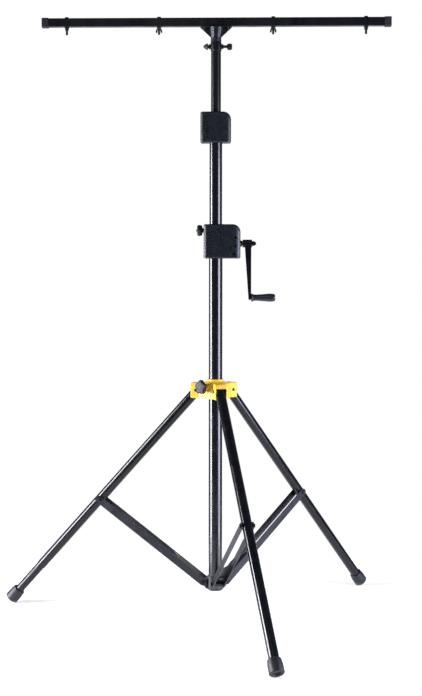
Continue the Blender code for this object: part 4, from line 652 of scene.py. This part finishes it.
# Small screws in the wells: low domes with a cross recess
SCREW_RADIUS, SCREW_HEIGHT, SCREW_SIDES = 3.9 * MM, 1.7 * MM, 32
SLOT_WIDTH, SLOT_ARM = 0.95 * MM, 2.2 * MM
# Rows of a slot's height on the screw and of its shares of the arm and of the width there
SLOT_FORM = [(0.35 * MM, 0.45, 0.835), (SCREW_HEIGHT + 0.4 * MM, 1.0, 1.0)]
SCREW_CLEAR = 0.02 * MM
# Rows of shares: of the screw's height and of its radius
DOME_FORM = [(0, 0), (0, 0.96), (0.2, 1.0), (0.5, 0.95), (0.8, 0.78), (0.97, 0.45), (1.0, 0)]


def round_screw(angle, radius):
    return radius


def cross_slot(turn):
    """One slot of the cross, tapering to its bottom."""
    rings = []
    for height, long, wide in SLOT_FORM:
        half_x, half_y = SLOT_ARM * long, SLOT_WIDTH / 2 * wide
        corners = ((-half_x, -half_y), (half_x, -half_y), (half_x, half_y), (-half_x, half_y))
        rings.append([Matrix.Rotation(turn, 4, "Z") @ Vector((x, y, height)) for x, y in corners])
    return lofted("slot", rings)


dome = [(SCREW_HEIGHT * rise, SCREW_RADIUS * wide) for rise, wide in DOME_FORM]
screw_mesh = carved("case_screw", turned("screw", dome, SCREW_SIDES, round_screw),
                    [cross_slot(turn) for turn in (0, pi / 2)])
for prefix, body, wells in (("winch", "mast", WINCH_WELLS),
                            ("pulley", "middle_stage", PULLEY_WELLS)):
    for number, (x, z, half, bottom) in enumerate(wells, start=1):
        side = -1 if half == "front" else 1
        place = (mast.x + x, mast.y + side * (bottom + SCREW_CLEAR), z)
        driven_to = 0.5 + 0.9 * number
        put("%s_case_screw_%d" % (prefix, number), screw_mesh.copy(), "blackened_steel", body,
            place, (0, side, 0), driven_to)


# What the camera, gloss and glass see of the studio is pale, and the light it gives is separate
def seen_rays(tree):
    """Rays from the camera, rays from gloss or glass, and either of them, each as 0 or 1."""
    rays = add(tree, "ShaderNodeLightPath").outputs
    mirrored = add(tree, "ShaderNodeMath", {"operation": "MAXIMUM"},
                   {0: rays["Is Glossy Ray"], 1: rays["Is Transmission Ray"]}).outputs[0]
    either = add(tree, "ShaderNodeMath", {"operation": "MAXIMUM"},
                 {0: rays["Is Camera Ray"], 1: mirrored}).outputs[0]
    return rays["Is Camera Ray"], mirrored, either


# Floor: a round sheet of pale paper under the stand, brightened where it is seen
FLOOR_RADIUS, FLOOR_SIDES, FLOOR_GLOW = 1.35, 96, 0.5
FLOOR_BELOW = 0.05 * MM
made = bmesh.new()
bmesh.ops.create_circle(made, cap_ends=True, segments=FLOOR_SIDES, radius=FLOOR_RADIUS)
floor_mesh = bpy.data.meshes.new("floor")
made.to_mesh(floor_mesh)
made.free()
floor = bpy.data.objects.new("floor", floor_mesh)
floor.location = (mast.x, mast.y, -FLOOR_BELOW)
bpy.context.scene.collection.objects.link(floor)
paper, tree, shader, place = finish("pale_floor_paper", "#e9e9ea", 0.9)
glow = add(tree, "ShaderNodeMath", {"operation": "MULTIPLY", 1: FLOOR_GLOW},
           {0: seen_rays(tree)[2]})
shader.inputs["Emission Color"].default_value = linear("#ffffff")
tree.links.new(glow.outputs[0], shader.inputs["Emission Strength"])
fibres = patches(tree, place, 4 * MM, detail=4.0)
relief(tree, shader, fibres, depth=0.05 * MM, strength=0.4)
floor_mesh.materials.append(paper)

# World: a white backdrop behind the stand, nearly dark elsewhere in the gloss, and a soft even fill
FILL_STRENGTH = 0.27
BACKDROP_EDGE, BACKDROP_FULL, DARK_SIDE = 0.80, 0.92, 0.05
world = bpy.data.worlds.new("studio")
bpy.context.scene.world = world
world.use_nodes = True
tree = world.node_tree
tree.nodes.clear()
from_camera, mirrored, either = seen_rays(tree)
heading = add(tree, "ShaderNodeTexCoord").outputs["Generated"]
behind = add(tree, "ShaderNodeVectorMath", {"operation": "DOT_PRODUCT", 1: (0.0, 1.0, 0.0)},
             {0: heading})
backdrop = add(tree, "ShaderNodeMapRange", {"From Min": BACKDROP_EDGE, "From Max": BACKDROP_FULL,
                                            "To Min": DARK_SIDE, "To Max": 1.0},
               {"Value": behind.outputs["Value"]})
in_gloss = add(tree, "ShaderNodeMath", {"operation": "MULTIPLY"},
               {0: mirrored, 1: backdrop.outputs[0]})
white = add(tree, "ShaderNodeMath", {"operation": "MAXIMUM"},
            {0: from_camera, 1: in_gloss.outputs[0]})
fill = add(tree, "ShaderNodeBackground", {"Color": linear("#f4f6ff"), "Strength": FILL_STRENGTH})
pure = add(tree, "ShaderNodeBackground", {"Color": linear("#ffffff")},
           {"Strength": white.outputs[0]})
choice = add(tree, "ShaderNodeMixShader", None,
             {0: either, 1: fill.outputs[0], 2: pure.outputs[0]})
add(tree, "ShaderNodeOutputWorld", None, {"Surface": choice.outputs[0]})


# Studio light: a tall softbox on either side and a weak one high in front
AIMED_AT = Vector((mast.x, mast.y, 1.0))


def softbox(name, colour, angle, distance, centre_height, width, height, power):
    """A soft area light round the mast; its angle runs from straight in front to the right."""
    light = bpy.data.lights.new(name, "AREA")
    light.shape = "RECTANGLE"
    light.size, light.size_y = width, height
    light.color = linear(colour)[:3]
    light.energy = power
    box = bpy.data.objects.new(name, light)
    side = Vector((sin(radians(angle)), -cos(radians(angle)), 0))
    box.location = Vector((mast.x, mast.y, centre_height)) + side * distance
    box.rotation_euler = (AIMED_AT - box.location).to_track_quat("-Z", "Y").to_euler()
    bpy.context.scene.collection.objects.link(box)


softbox("left_strip", "#f6f6ff", -82, 3.0, 0.75, width=0.9, height=2.3, power=235)
softbox("right_softbox", "#dfe5ff", 66, 3.0, 0.75, width=1.6, height=2.3, power=170)
softbox("high_front", "#ffffff", -12, 3.6, 4.2, width=1.6, height=1.6, power=14)

# Camera: the photograph's viewing angle, worked out from the stand's known sizes in it
CAMERA_YAW, CAMERA_DOWN = radians(1.553), radians(3.436)
CAMERA_SIDE, CAMERA_BACK, CAMERA_HEIGHT = 0.131, 5.228, 1.283
PICTURE_HEIGHT, SENSOR_HEIGHT = 696, 24.0
FOCAL_PIXELS, MIDDLE_COLUMN, STRAIGHT_AHEAD_COLUMN = 1475.3, 211.0, 178.7
camera_data = bpy.data.cameras.new("camera")
camera = bpy.data.objects.new("camera", camera_data)
reach = Matrix.Rotation(CAMERA_YAW, 3, "Z") @ Vector((-CAMERA_SIDE, -CAMERA_BACK, 0))
camera.location = (mast.x + reach.x, mast.y + reach.y, CAMERA_HEIGHT)
camera.rotation_euler = (pi / 2 - CAMERA_DOWN, 0, CAMERA_YAW)
camera_data.sensor_fit = "VERTICAL"
camera_data.sensor_height = SENSOR_HEIGHT
camera_data.lens = FOCAL_PIXELS / PICTURE_HEIGHT * SENSOR_HEIGHT
camera_data.shift_x = (MIDDLE_COLUMN - STRAIGHT_AHEAD_COLUMN) / PICTURE_HEIGHT
bpy.context.scene.collection.objects.link(camera)
bpy.context.scene.camera = camera

bpy.context.scene.view_settings.view_transform = "Standard"
